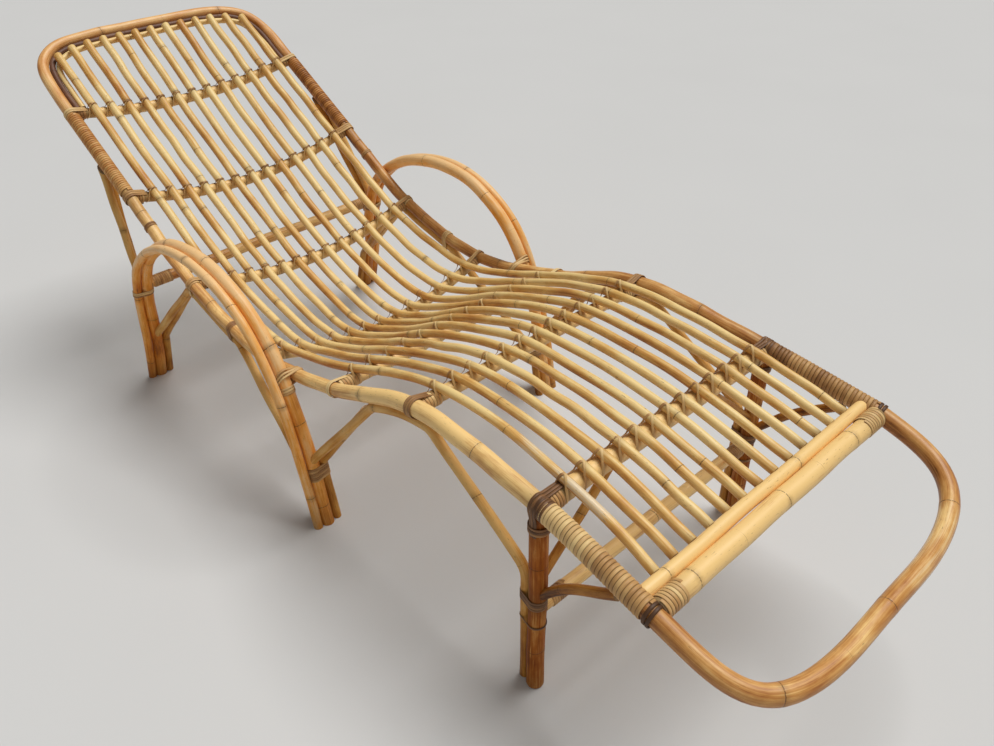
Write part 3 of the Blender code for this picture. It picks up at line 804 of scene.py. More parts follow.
    def slat_width(self, point: Array) -> float:
        """A slat's diameter, which tapers towards the foot over the lower back."""
        taper = (self.bar("back_crossbar_middle").x, self.bar("seat_crossbar_rear").x)
        return float(np.interp(point[0], taper, (self.slat, self.slat_foot)))

    def slat_ys(self, half: float) -> Array:
        """Where the slats lie across the frame, from right to left."""
        return np.linspace(-1.0, 1.0, self.slat_count) * (half - self.slat_edge)

    def under(self, x_from: float, x_to: float, width: float) -> list[Array]:
        """The axis of a cane that lies along under the rail.

        Args:
            x_from: where it starts.
            x_to: where it ends.
            width: the cane's diameter.

        Returns:
            The points of the axis.
        """
        start, end = self.side.mark(x_from), self.side.mark(x_to)
        route = []
        for mark in np.linspace(start, end, self.UNDER_POINTS):
            point = self.side.at(mark)
            drop = (self.rail_width(point) + width) / 2.0 + self.gap
            route.append(point - upright(self.side.heading(mark)) * drop)
        return route

    @property
    def rim_y(self) -> float:
        """How far out the arm's rim stands."""
        return self.arm_y + (self.arm + self.rim) / 2.0 + self.gap

    @cached_property
    def hoop(self) -> Array:
        """The arm hoop in its own upright plane, from below the rear foot to below the middle foot."""
        route = smooth([(x, 0.0, z) for x, z in self.arm_route])
        first = route[0] + unit(route[0] - route[1]) * self.below_floor
        last = route[-1] + unit(route[-1] - route[-2]) * self.below_floor
        return np.vstack((first, route, last))

    def leg(self, rear: bool) -> Route:
        """A leg of the arm hoop, from the floor up to the top of the arm.

        Args:
            rear: true for the rear leg.

        Returns:
            Its axis.
        """
        top = int(np.argmax(self.hoop[:, 2]))
        points = self.hoop[:top + 1] if rear else self.hoop[top:][::-1]
        return Route(points + ACROSS * self.arm_y)

    def beside_leg(self, rear: bool, z_from: float, z_to: float, width: float, inside: bool) -> list[Array]:
        """The axis of a cane along a leg of the arm hoop.

        Args:
            rear: true for the rear leg.
            z_from: the height that it starts from.
            z_to: the height that it ends at.
            width: the cane's diameter.
            inside: true for the leg's inner side, and false for its rear side.

        Returns:
            The points of the axis, upwards.
        """
        leg = self.leg(rear)
        away = (self.arm + width) / 2.0 + self.gap
        route = []
        for z in np.linspace(z_from, z_to, self.LEG_POINTS):
            mark = leg.mark(z, 2)
            aside = ACROSS if inside else -upright(leg.heading(mark))
            route.append(leg.at(mark) - aside * away)
        return route

    @cached_property
    def post_foot(self) -> Array:
        """The foot of the front leg, on the floor."""
        x = self.bar("leg_crossbar").x + self.post_ahead
        return np.array((x, self.side.at(self.side.mark(x))[1], 0.0))


# Meshes drawn along a line


class Ring(NamedTuple):
    """One ring of a sweep: its frame with its half sizes, and what its finish reads there."""

    frame: Matrix
    along: float
    tone: float
    knot: float = 0.0
    tilt: tuple[float, float] = (0.0, 0.0)
    grime: float = 0.0


def framed(*columns: Array) -> Matrix:
    """The frame with these axes and origin."""
    return Matrix([*np.column_stack(columns).tolist(), (0.0, 0.0, 0.0, 1.0)])


def ring_frame(point: Array, ahead: Array, normal: Array, half_width: float, half_depth: float) -> Matrix:
    """The frame of a ring, scaled to its half sizes; its depth lies along the normal."""
    aside = np.cross(normal, ahead)
    return framed(aside * half_width, normal * half_depth, ahead, point)


def headings(points: Array) -> Array:
    """The direction of a line at each of its points."""
    ahead = np.gradient(points, axis=0)
    return ahead / np.linalg.norm(ahead, axis=1)[:, None]


def carried(ahead: Array) -> Array:
    """A normal at each point of a line, carried along it without twist.

    Args:
        ahead: the line's direction at each point.

    Returns:
        The normals.
    """
    start = UP if abs(ahead[0] @ UP) < 0.9 else ALONG
    normal = unit(start - ahead[0] * (start @ ahead[0]))
    normals = [normal]
    for direction in ahead[1:]:
        normal = unit(normal - direction * (normal @ direction))
        normals.append(normal)
    return np.array(normals)


def finished(name: str, mesh: bmesh.types.BMesh, *finishes: Finish) -> bpy.types.Object:
    """An object in the scene.

    Args:
        name: its name.
        mesh: its mesh, which is used up.
        finishes: its finishes, by material index.

    Returns:
        The object.
    """
    data = bpy.data.meshes.new(name)
    mesh.to_mesh(data)
    mesh.free()
    for finish in finishes:
        data.materials.append(finish.material())
    made = bpy.data.objects.new(name, data)
    bpy.context.scene.collection.objects.link(made)
    LOG.info("%s: %d faces", name, len(data.polygons))
    return made


class Sweep:
    """A mesh drawn out ring by ring along lines, each closed at both ends."""

    STRETCH = 32
    SEAM = 2e-5
    CREASE = math.radians(50.0)

    def __init__(self, name: str, bleach: float = 0.0) -> None:
        """Starts an empty mesh.

        Args:
            name: the piece's name.
            bleach: painted light and shade: how much paler its upper side is made than its lower one.
        """
        self.name = name
        self.bleach = bleach
        self.mesh = bmesh.new()

    def draw(self, rings: Sequence[Ring], sides: int, share_across: bool = False) -> None:
        """Draws one closed tube or strip, in short stretches that are joined at their seams.

        Args:
            rings: its rings, from one end to the other.
            sides: the number of points in a ring.
            share_across: true for a strip, whose edges its finish knows by the share of its half width.
        """
        for start in range(0, len(rings) - 1, self.STRETCH):
            self._stretch(rings[start:start + self.STRETCH + 1], sides, share_across)
        seams = [vert for vert in self.mesh.verts if vert.is_boundary]
        bmesh.ops.remove_doubles(self.mesh, verts=seams, dist=self.SEAM)
        self.close()

    def _stretch(self, rings: Sequence[Ring], sides: int, share_across: bool) -> None:
        """Draws some rings and adds them to the mesh, with what the finish reads at each point.

        Args:
            rings: the rings.
            sides: the number of points in a ring.
            share_across: true for a strip.
        """
        part = bmesh.new()
        place = part.verts.layers.float_vector.new("place")
        knot, tone, grime = (part.verts.layers.float.new(name) for name in ("knot", "tone", "grime"))
        first = rings[0].frame
        back = first.inverted()
        wide, deep = first.col[0].length, first.col[1].length
        circle = bmesh.ops.create_circle(part, cap_ends=False, segments=sides, radius=1.0, matrix=first)
        verts = circle["verts"]
        for vert in verts:
            spot = back @ vert.co
            vert[place] = (spot.x * wide, spot.y * deep, 0.0)
            vert[knot] = spot.x
        edges = part.edges[:]
        for before, ring in zip((rings[0], *rings), rings):
            if ring is not before:
                drawn = bmesh.ops.extrude_edge_only(part, edges=edges)["geom"]
                verts = [found for found in drawn if isinstance(found, bmesh.types.BMVert)]
                edges = [found for found in drawn
                         if isinstance(found, bmesh.types.BMEdge) and found.is_boundary]
                bmesh.ops.transform(part, matrix=ring.frame @ before.frame.inverted(), verts=verts)
            for vert in verts:
                x, y, _ = vert[place]
                vert[place] = (x, y, ring.along)
                # Painted light and shade: each point's tone rises on the ring's upper side and falls on its
                # lower side.
                vert[tone] = ring.tone + self.bleach * (vert.co - ring.frame.translation).normalized().z
                vert[grime] = ring.grime
                if not share_across:
                    vert[knot] = ring.knot + ring.tilt[0] * x + ring.tilt[1] * y
        data = bpy.data.meshes.new("stretch")
        part.to_mesh(data)
        part.free()
        self.mesh.from_mesh(data)
        bpy.data.meshes.remove(data)

    def close(self) -> None:
        """Fills the open ends, as sawn faces."""
        rims = [edge for edge in self.mesh.edges if edge.is_boundary]
        for face in bmesh.ops.holes_fill(self.mesh, edges=rims, sides=0)["faces"]:
            face.material_index = 1

    def cut(self, cuts: Sequence[Cut]) -> None:
        """Cuts the mesh by planes, and closes it again.

        Args:
            cuts: the planes.
        """
        for point, normal in cuts:
            parts = self.mesh.verts[:] + self.mesh.edges[:] + self.mesh.faces[:]
            bmesh.ops.bisect_plane(self.mesh, geom=parts, dist=1e-6, plane_co=point, plane_no=normal,
                                   clear_outer=True)
            self.close()

    def soften(self, width: float) -> None:
        """Rounds the rims of the sawn ends.

        Args:
            width: how far in from the rim.
        """
        rims = [edge for edge in self.mesh.edges
                if len({face.material_index for face in edge.link_faces}) == 2]
        bmesh.ops.bevel(self.mesh, geom=rims, offset=width, offset_type="OFFSET", segments=2, profile=0.5,
                        affect="EDGES", clamp_overlap=True, material=-1)

    def piece(self, finish: Finish, end: Finish | None = None) -> bpy.types.Object:
        """The finished piece, riding on the chaise's one body.

        Args:
            finish: the finish all over.
            end: the finish of the sawn ends, where they have their own.

        Returns:
            The piece.
        """
        bmesh.ops.recalc_face_normals(self.mesh, faces=self.mesh.faces)
        piece = finished(self.name, self.mesh, finish, end or finish)
        piece.data.shade_smooth()
        piece.data.set_sharp_from_angle(angle=self.CREASE)
        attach(piece, "root")
        return piece


class Pole(NamedTuple):
    """A pole as the lashings see it: its axis and its radius."""

    route: Route
    radius: float

    def turned(self) -> Pole:
        """The pole with its axis from the other end."""
        return Pole(Route(self.route.points[::-1]), self.radius)


class Stain(NamedTuple):
    """Dirt on a pole, which also stands for painted shade where it lies on or under another pole: its place,
    from the far end if below zero, its reach, and its strength.

    A strength below zero is skin that is worn pale.
    """

    at: float
    reach: float
    strength: float


def seeded(name: str) -> random.Random:
    """Chance numbers that are the same for a name each time."""
    return random.Random(zlib.crc32(name.encode()))


def tone_at(tones: Tones, share: float) -> float:
    """The tone at a share of a length."""
    shares, values = zip(*tones)
    return float(np.interp(share, shares, values))


@dataclass
class Cane:
    """The rattan pole that stands for a node, with growth rings, swellings, slight drift and sawn ends."""

    node: str
    route: Route
    width: float | Callable[[Array], float]
    finish: Finish
    tones: Tones = ((0.0, 0.0),)
    knots: Sequence[float] | None = None
    spacing: tuple[float, float] = (0.17, 0.29)
    cuts: Sequence[Cut] = ()
    stains: Sequence[Stain] = ()
    sides: int = 14
    step: float = 0.010
    swell: float = 0.022
    drift: float = 0.0005
    soft_end: float = 0.10
    # Painted light and shade: the upper side is made paler and the lower side darker.
    bleach: float = 0.30

    FIRST_KNOT = 0.04
    LAST_KNOT = 0.012
    CLOSE = (-0.013, -0.008, -0.0048, -0.0026, -0.0011, 0.0, 0.0011, 0.0026, 0.0048, 0.008, 0.013)
    CLEAR = 0.0016
    FINEST = 0.0006
    WAVES = 8
    WAVE_LENGTHS = (0.08, 0.30)
    RING_TILT = 0.12
    RIDGE = 0.0060
    GROOVE = 0.0010
    GROOVE_DEPTH = 0.9
    UNEVEN = (0.010, 0.006)
    MOTTLED = (0.10, 0.08)
    FADE = 0.03

    @property
    def name(self) -> str:
        """The piece's name."""
        return f"{self.node}_pole"

    def thickness(self, point: Array) -> float:
        """The pole's diameter at a point."""
        return self.width(point) if callable(self.width) else self.width

    def knot_marks(self, chance: random.Random) -> list[float]:
        """Where the growth rings lie along the pole.

        Args:
            chance: where their spacing comes from, unless they are given.

        Returns:
            Their places.
        """
        if self.knots is not None:
            return list(self.knots)
        marks = [chance.uniform(self.FIRST_KNOT, self.spacing[1])]
        while marks[-1] < self.route.length:
            marks.append(marks[-1] + chance.uniform(*self.spacing))
        return [mark for mark in marks if mark < self.route.length - self.LAST_KNOT]

    def stations(self, marks: Sequence[float]) -> Array:
        """How far along the pole the mesh's rings lie.

        Args:
            marks: the places of the growth rings.

        Returns:
            Even places, and closer ones round the growth rings.
        """
        length = self.route.length
        even = np.linspace(0.0, length, max(4, math.ceil(length / self.step) + 1))
        near = np.array([mark + shift for mark in marks for shift in self.CLOSE])
        if len(near):
            lonely = [place for place in even if np.min(np.abs(near - place)) > self.CLEAR]
            even = np.array([0.0, *lonely, *near, length])
        kept = [0.0]
        for place in np.unique(np.clip(even, 0.0, length)):
            if place - kept[-1] > self.FINEST:
                kept.append(float(place))
        kept[-1] = length
        return np.array(kept)

    def grime(self, place: float) -> float:
        """How soiled or worn the pole is at a place along it, with painted shade where it lies on or under
        another pole.

        Args:
            place: the place.

        Returns:
            From -1, worn pale, to 1.
        """
        total = 0.0
        for at, reach, strength in self.stains:
            where = at if at >= 0.0 else self.route.length + at
            total += strength * math.exp(-((place - where) / reach) ** 2)
        return min(max(total, -1.0), 1.0)

    def rings(self) -> list[Ring]:
        """The rings of the pole, with its swellings and what its finish reads.

        Returns:
            The rings, from one end to the other.
        """
        chance = seeded(self.name)
        length = self.route.length
        marks = self.knot_marks(chance)
        places = self.stations(marks)
        points = self.route.at(places)
        ahead = headings(points)
        waves = [(chance.uniform(*self.WAVE_LENGTHS), chance.uniform(0.0, 2.0 * math.pi))
                 for _ in range(self.WAVES)]

        def wave(which: int, place: float) -> float:
            """One of the pole's slow waves, from -1 to 1."""
            long, phase = waves[which]
            return math.sin(2.0 * math.pi * place / long + phase)

        tilt = tuple(chance.uniform(-self.RING_TILT, self.RING_TILT) for _ in range(2))
        offset = chance.uniform(0.0, NOISE_SPAN)
        rings = []
        for place, point, direction, normal in zip(places, points, ahead, carried(ahead)):
            nearest = min((place - mark for mark in marks), key=abs, default=1.0)
            groove = self.GROOVE_DEPTH * math.exp(-(nearest / self.GROOVE) ** 2)
            bulge = self.swell * (math.exp(-(nearest / self.RIDGE) ** 2) - groove)
            uneven = 1.0 + self.UNEVEN[0] * wave(0, place) + self.UNEVEN[1] * wave(1, place)
            half = self.thickness(point) / 2.0 * (uneven + bulge)
            fade = min(1.0, place / self.FADE, (length - place) / self.FADE)
            aside = np.cross(normal, direction)
            point = point + self.drift * fade * (normal * wave(2, place) + aside * wave(3, place))
            tone = tone_at(self.tones, place / length)
            tone += self.MOTTLED[0] * wave(4, place) + self.MOTTLED[1] * wave(5, place)
            frame = ring_frame(point, direction, normal, half, half)
            rings.append(Ring(frame, place + offset, tone, nearest, tilt, self.grime(place)))
        return rings

    def build(self) -> Pole:
        """Makes the pole's piece.

        Returns:
            The pole as the lashings see it.
        """
        sweep = Sweep(self.name, self.bleach)
        sweep.draw(self.rings(), self.sides)
        sweep.cut(self.cuts)
        sweep.soften(self.thickness(self.route.points[0]) * self.soft_end / 2.0)
        piece = sweep.piece(self.finish, Finish.END)
        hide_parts(self.node)
        return Pole(self.route, self.thickness(self.route.at(self.route.length / 2.0)) / 2.0)


@dataclass
class Strand:
    """A strip of split peel along a line, lying flat on what it goes round."""

    points: Array
    normals: Array
    width: float
    depth: float
    tones: Tones
    jitter: float
    every: float = 0.09

    SIDES = 8
    UNEVEN = 0.06

    def draw(self, sweep: Sweep, chance: random.Random) -> None:
        """Draws the strip into a mesh.

        Args:
            sweep: the mesh.
            chance: where its chance changes of colour and width come from.
        """
        marks = Route(self.points).marks
        offset = chance.uniform(0.0, NOISE_SPAN)
        beats = [chance.uniform(-1.0, 1.0) for _ in range(int(marks[-1] / self.every) + 3)]
        rings = []
        for mark, point, direction, normal in zip(marks, self.points, headings(self.points), self.normals):
            facing = unit(normal - direction * (normal @ direction))
            tone = tone_at(self.tones, mark / marks[-1])
            tone += self.jitter * float(np.interp(mark / self.every, range(len(beats)), beats))
            narrow = 1.0 + self.UNEVEN * float(np.interp(mark / self.every + 0.5, range(len(beats)), beats))
            frame = ring_frame(point, direction, facing, self.width / 2.0 * narrow, self.depth / 2.0)
            rings.append(Ring(frame, mark + offset, tone))
        sweep.draw(rings, self.SIDES, share_across=True)


def strip_course(path: Sequence[tuple[Array, Array]], steps: int) -> tuple[Array, Array]:
    """A smooth line for a strip.

    Args:
        path: the points that it passes through, each with the way that the strip faces there.
        steps: the number of pieces between two of them.

    Returns:
        The points of the line, and the way that the strip faces at each.
    """
    points, facings = (np.array(column) for column in zip(*path))
    fine = smooth(points, steps)
    places = np.linspace(0.0, len(path) - 1, len(fine))
    blended = np.stack([np.interp(places, range(len(path)), facings[:, axis]) for axis in range(3)], -1)
    return fine, blended / np.linalg.norm(blended, axis=1)[:, None]


@dataclass
class Wrap:
    """A strand wound tight round a bundle of poles, turn beside turn along a guide."""

    bundle: Sequence[Pole]
    guide: Route
    start: float
    end: float
    turns: float
    width: float
    depth: float
    tones: Tones
    jitter: float
    phase: float = 0.0
    axis: Array | None = None
    per_turn: int = 24
    lift: float = 0.0

    FEWEST = 8
    SHORTEST_BEAT = 0.02
    BEAT_TURNS = 0.6
    FLATTEST = 0.35

    def strand(self) -> Strand:
        """The strand: at each angle, the outermost place of the bundle in the guide's cross plane.

        Returns:
            The strand.
        """
        count = max(self.FEWEST, int(self.per_turn * abs(self.turns)))
        points, normals = [], []
        for share in np.linspace(0.0, 1.0, count + 1):
            mark = self.start + (self.end - self.start) * share
            origin = self.guide.at(mark)
            normal = self.guide.heading(mark) if self.axis is None else self.axis
            first = ACROSS if abs(normal @ ACROSS) < 0.8 else UP
            first = unit(first - normal * (first @ normal))
            second = np.cross(normal, first)
            angle = self.phase + 2.0 * math.pi * self.turns * share
            facing = first * math.cos(angle) + second * math.sin(angle)
            reached = [self._reach(pole, origin, normal, facing) for pole in self.bundle]
            points.append(max(reached, key=lambda pair: pair[0])[1])
            normals.append(facing)
        beat = max(self.SHORTEST_BEAT, self.BEAT_TURNS * 2.0 * math.pi * self.bundle[0].radius)
        return Strand(np.array(points), np.array(normals), self.width, self.depth, self.tones, self.jitter,
                      beat)

    def _reach(self, pole: Pole, origin: Array, normal: Array, facing: Array) -> tuple[float, Array]:
        """How far out a pole reaches in a plane.

        Args:
            pole: the pole.
            origin: the plane's middle.
            normal: the plane's normal.
            facing: the way out.

        Returns:
            The distance, and the point of the pole's skin that lies there.
        """
        if pole.route is self.guide and self.axis is None:
            middle, ahead = origin, normal
        else:
            middle, ahead = pole.route.cross(origin, normal)
        radius = pole.radius + self.depth / 2.0 + self.lift
        slant = ahead - normal * (ahead @ normal)
        if np.linalg.norm(slant) < TINY:
            return float((middle - origin) @ facing) + radius, middle + facing * radius
        long = unit(slant)
        wide = np.cross(normal, long)
        stretch = radius / max(abs(float(ahead @ normal)), self.FLATTEST)
        a, b = float(facing @ long) * stretch, float(facing @ wide) * radius
        reach = math.hypot(a, b)
        point = middle + (long * a * stretch + wide * b * radius) / reach
        return float((middle - origin) @ facing) + reach, point


@dataclass
class Lashing:
    """A piece made of strands: the ties and windings at one place."""

    name: str
    finish: Finish = Finish.TAN_PEEL
    strands: list[Strand] = field(default_factory=list)

    def wrap(self, *bundle: Pole, tone: float = 0.0, **sizes: Any) -> None:
        """Adds a wrap round a bundle.

        Args:
            bundle: the poles; the wrap runs along the first, unless a guide is given.
            tone: its colour, unless tones are given.
            sizes: the wrap's other sizes.
        """
        sizes.setdefault("guide", bundle[0].route)
        sizes.setdefault("tones", ((0.0, tone),))
        self.strands.append(Wrap(bundle, **sizes).strand())

    def build(self, *nodes: str) -> None:
        """Makes the piece, for the frame's nodes that it stands for.

        Args:
            nodes: the nodes, if any.
        """
        sweep = Sweep(self.name)
        chance = seeded(self.name)
        for strand in self.strands:
            strand.draw(sweep, chance)
        piece = sweep.piece(self.finish)
        if nodes:
            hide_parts(*nodes)


# The chaise's sub-assemblies


@dataclass
class Assembly:
    """A sub-assembly, with what all of them share: the frame's lines, and the poles made so far by node."""

    lines: Lines
    poles: dict[str, Pole]

    def make(self, cane: Cane) -> None:
        """Builds a pole, and keeps it for the lashings."""
        self.poles[cane.node] = cane.build()

    def side_poles(self, side: Side, *names: str) -> list[Pole]:
        """The poles of these names on a side."""
        return [self.poles[f"{name}_{side.tag}"] for name in names]


@dataclass
class RailFrame(Assembly):
    """The side rails, the bows that close the frame, and the two canes nested in the head bow."""

    rail_tones: dict[Side, Tones] = field(default_factory=lambda: {
        Side.RIGHT: ((0.0, 0.1), (0.2, 0.2), (0.5, -0.05), (0.7, 0.6), (1.0, 0.55)),
        Side.LEFT: ((0.0, -0.25), (0.25, -0.25), (0.45, -0.05), (0.62, -0.2), (0.8, -0.25), (1.0, -0.35))})
    head_tones: Tones = ((0.0, 0.0), (0.3, 0.15), (0.55, 0.2), (0.68, -0.05), (0.8, -0.4), (1.0, -0.6))
    foot_tones: Tones = ((0.0, -0.3), (0.3, -0.25), (0.45, -0.05), (0.6, 0.05), (0.75, -0.15), (1.0, -0.5))
    inner_tone: float = 0.55
    rail_knots: tuple[float, ...] = (0.201, 0.455, 0.70, 0.949, 1.208)
    foot_knots: tuple[float, ...] = (0.328, 0.538, 0.759)
    bow_spacing: tuple[float, float] = (0.22, 0.33)
    rail_stains: tuple[Stain, ...] = (Stain(0.045, 0.10, 1.0), Stain(-0.03, 0.09, 1.0))
    foot_worn: Stain = Stain(0.66, 0.15, -0.75)
    bow_stained: float = 0.75
    sides: int = 20
    soft_end: float = 0.02
    nested_swell: float = 0.03
    nested_sunk: float = 0.004

    def build(self) -> None:
        """Makes the frame's poles."""
        lines = self.lines
        head_point, head_face, head_lap = lines.splice(lines.head_splice)
        foot_point, foot_face, foot_lap = lines.splice(lines.foot_splice_at)
        half_gap = lines.gap / 2.0
        run = lines.side.part(lines.head_splice - head_lap, lines.foot_splice_at + foot_lap)
        for side in Side:
            cuts = (Cut(side.place(head_point + head_face * half_gap), -head_face),
                    Cut(side.place(foot_point - foot_face * half_gap), foot_face))
            self.make(Cane(f"side_rail_{side.tag}", side.route(run), lines.rail_width, Finish.RAIL,
                           self.rail_tones[side], self.rail_knots, cuts=cuts, stains=self.rail_stains,
                           sides=self.sides, soft_end=self.soft_end))

        head_run = lines.side.part(0.0, lines.head_splice + head_lap)[::-1]
        foot_run = lines.side.part(lines.foot_splice_at - foot_lap, lines.side.length)
        head_cut = Cut(head_point - head_face * half_gap, head_face)
        foot_cut = Cut(foot_point + foot_face * half_gap, -foot_face)
        heads = dict.fromkeys(Side, lines.head)
        for node, run, bow, cut, width, finish, tones, knots, worn in (
                ("head_bow", head_run, heads, head_cut, lines.back_rail, Finish.BOW, self.head_tones,
                 None, ()),
                ("foot_bow", foot_run, lines.foot, foot_cut, lines.rail, Finish.RAIL, self.foot_tones,
                 self.foot_knots, (self.foot_worn,))):
            left, right = (np.vstack((run, bow[side][1:])) for side in (Side.LEFT, Side.RIGHT))
            whole = Route(np.vstack((Side.RIGHT.place(right), left[-2::-1])))
            covered = Route(run).length * self.bow_stained
            stains = (Stain(0.0, covered, 1.0), Stain(whole.length, covered, 1.0), *worn)
            self.make(Cane(node, whole, width, finish, tones, knots, self.bow_spacing, (cut,), stains,
                           self.sides, soft_end=self.soft_end))
        self._nested()

    def _nested(self) -> None:
        """Makes the dark liner and the pale inner cane inside the head bow."""
        lines = self.lines
        bar = lines.bars[0]
        middle = np.array((bar.x, 0.0, bar.z))
        stop = Cut(middle + lines.up * (bar.width / 2.0 - self.nested_sunk), -lines.up)
        inward = np.cross(headings(lines.head), np.cross(lines.up, ACROSS))
        inset = lines.back_rail / 2.0
        for node, finish, tone in (("head_liner_cane", Finish.LINER, 0.0),
                                   ("head_inner_cane", Finish.SLAT, self.inner_tone)):
            inset += lines.liner / 2.0 + lines.gap
            half = lines.head + inward * inset
            half[-1] = lines.head[-1] - lines.up * inset
            half = half[half[:, 1] > -1e-9]
            half = np.vstack((half[0] - lines.up * bar.width, half))
            whole = Route(np.vstack((Side.RIGHT.place(half), half[-2::-1])))
            self.make(Cane(node, whole, lines.liner, finish, ((0.0, tone),), cuts=(stop,),
                           swell=self.nested_swell))
            inset += lines.liner / 2.0


@dataclass
class Crossbars(Assembly):
    """The crossbars from rail to rail, and the cane that the slats end against."""

    sunk: float = 0.004
    tones: Tones = ((0.0, 0.8), (0.5, 1.0), (1.0, 0.8))
    foot_tones: Tones = ((0.0, 0.85), (0.5, 0.95), (1.0, 0.85))
    foot_knots: tuple[float, ...] = (0.065, 0.263, 0.44)
    end_stained: float = 0.035
    slat_stained: float = 0.007
    slat_stain: float = 0.35
    sides: int = 18

    def build(self) -> None:
        """Makes the bars; each stops a little inside the skin of the rails."""
        lines = self.lines
        for bar in (*lines.bars, lines.end_bar):
            inset = lines.rail_width(bar.at(0.0)) / 2.0 - self.sunk
            whole = bar.route()
            route = Route(whole.part(inset, whole.length - inset))
            stains = [Stain(end, self.end_stained, 1.0) for end in (0.0, route.length) if bar in lines.bars]
            tones, knots = self.foot_tones, None
            if bar in lines.bars[:-1]:
                tones = self.tones
                # Painted shade, with some dirt, where each slat lies over the bar.
                stains += [Stain(route.nearest(bar.at(y)), self.slat_stained, self.slat_stain)
                           for y in lines.slat_ys(bar.half)]
            elif bar in lines.bars:
                knots = self.foot_knots
            self.make(Cane(bar.name, route, bar.width, Finish.RAIL, tones, knots, stains=stains,
                           sides=self.sides))


@dataclass
class Slats(Assembly):
    """The slats, bent over the crossbars from the head's inner cane to the cane at the foot."""

    wander: float = 0.0010
    wander_rise: float = 0.35
    settles: int = 4
    steps: int = 12
    past: float = 0.001
    butted: float = 0.001
    above_bar: float = 0.07
    rest_stained: float = 0.007
    rest_stain: float = 0.30
    end_stained: float = 0.010
    end_stain: tuple[float, float] = (0.2, 0.9)
    worn: tuple[float, ...] = (0.50, 0.575, 0.625)
    worn_reach: float = 0.035
    tones: tuple[float, ...] = (0.30, 0.35, 0.15, 0.40, 0.25, 0.0, 0.20, 0.40, 0.05, 0.35, 0.15, 0.40, 0.25)
    tone_steps: int = 19
    tone_swing: tuple[float, float] = (-0.54, 0.46)

    def build(self) -> None:
        """Makes the slats, each with a slight wander of its own between the bars."""
        lines = self.lines
        inner = self.poles["head_inner_cane"].route.points
        top = inner[np.argsort(inner[:, 1])]
        top = top[top[:, 2] > lines.bars[0].z + self.above_bar]
        rise = self.wander_rise
        for number, tone in enumerate(self.tones):
            node = slat_node(number)
            chance = seeded(node)
            rests = self._rests(top, number)
            strayed = []
            for i, point in enumerate(smooth(rests, 2)):
                stray = np.array((0.0, chance.uniform(-1.0, 1.0), chance.uniform(-rise, rise))) * self.wander
                strayed.append(point + stray if i % 2 else point)
            curve = smooth(strayed, self.steps)
            tip = curve[0] + unit(curve[0] - curve[1]) * self.past
            route = Route(np.vstack((tip, curve)))
            # Painted shade, with some dirt, where the slat lies on each bar.
            stains = [Stain(route.nearest(rest), self.rest_stained, self.rest_stain) for rest in rests[1:-1]]
            stains.append(Stain(route.length, self.end_stained, chance.uniform(*self.end_stain)))
            if number == 0:
                stains += [Stain(route.mark(x), self.worn_reach, -1.0) for x in self.worn]
            shares = np.linspace(0.0, 1.0, self.tone_steps)
            tones = [(share, tone + chance.uniform(*self.tone_swing)) for share in shares]
            # The slats get stronger painted light and shade, paler on top and darker below.
            self.make(Cane(node, route, lines.slat_width, Finish.SLAT, tones, stains=stains, step=0.011,
                           spacing=(0.22, 0.42), drift=0.0007, swell=0.018, bleach=0.42))

    def _rests(self, top: Array, number: int) -> Array:
        """Where a slat's axis lies over each bar.

        Args:
            top: the inner cane of the head bow, from right to left.
            number: the slat's number from the right, from 0.

        Returns:
            The points of its axis over the inner cane, over each bar and against the cane at its end.
        """
        lines = self.lines
        end_bar = lines.end_bar
        y = float(lines.slat_ys(lines.bars[0].half)[number])
        x, z = (float(np.interp(y, top[:, 1], top[:, axis])) for axis in (0, 2))
        supports = [(np.array((x, y, z)), ACROSS, (lines.liner + lines.slat) / 2.0)]
        for bar in lines.bars[:-1]:
            y = float(lines.slat_ys(bar.half)[number])
            supports.append((bar.at(y), bar.slope(y), (bar.width + lines.slat_width(bar.at(y))) / 2.0))
        y = float(lines.slat_ys(end_bar.half)[number])
        end = end_bar.at(y) - lines.out * (end_bar.width / 2.0 - self.butted)
        route = np.array([*(point for point, slope, spacing in supports), end])
        for _ in range(self.settles):
            ahead = np.vstack((route[1:], route[-1:])) - np.vstack((route[:1], route[:-1]))
            rested = []
            for (point, slope, spacing), direction in zip(supports, ahead * FLAT):
                above = upright(direction)
                common = unit(np.cross(direction, slope))
                rested.append(point + above * (spacing + lines.gap) / abs(float(above @ common)))
            route = np.array([*rested, end])
        return route


def slat_node(number: int) -> str:
    """The node of a slat, by its number from the right, from 0."""
    return f"slat_{number + 1:02d}"


@dataclass
class Arms(Assembly):
    """The arm hoops, whose ends are the rear and middle legs, and the rims along their outside."""

    tones: Tones = ((0.0, -0.2), (0.14, -0.15), (0.25, 0.15), (0.4, 0.7), (0.55, 0.65), (0.68, 0.3),
                    (0.85, 0.1), (1.0, 0.0))
    stains: tuple[Stain, ...] = (Stain(0.03, 0.05, 0.5), Stain(-0.03, 0.05, 0.5))
    sides: int = 20
    step: float = 0.008
    spacing: tuple[float, float] = (0.14, 0.22)

    def build(self) -> None:
        """Makes the hoops and rims."""
        lines = self.lines
        for side in Side:
            for name, y, width in (("arm_hoop", lines.arm_y, lines.arm), ("arm_rim", lines.rim_y, lines.rim)):
                route = side.route(lines.hoop + ACROSS * y)
                self.make(Cane(f"{name}_{side.tag}", route, width, Finish.ARM, self.tones, None, self.spacing,
                               (FLOOR_CUT,), self.stains, self.sides, self.step))


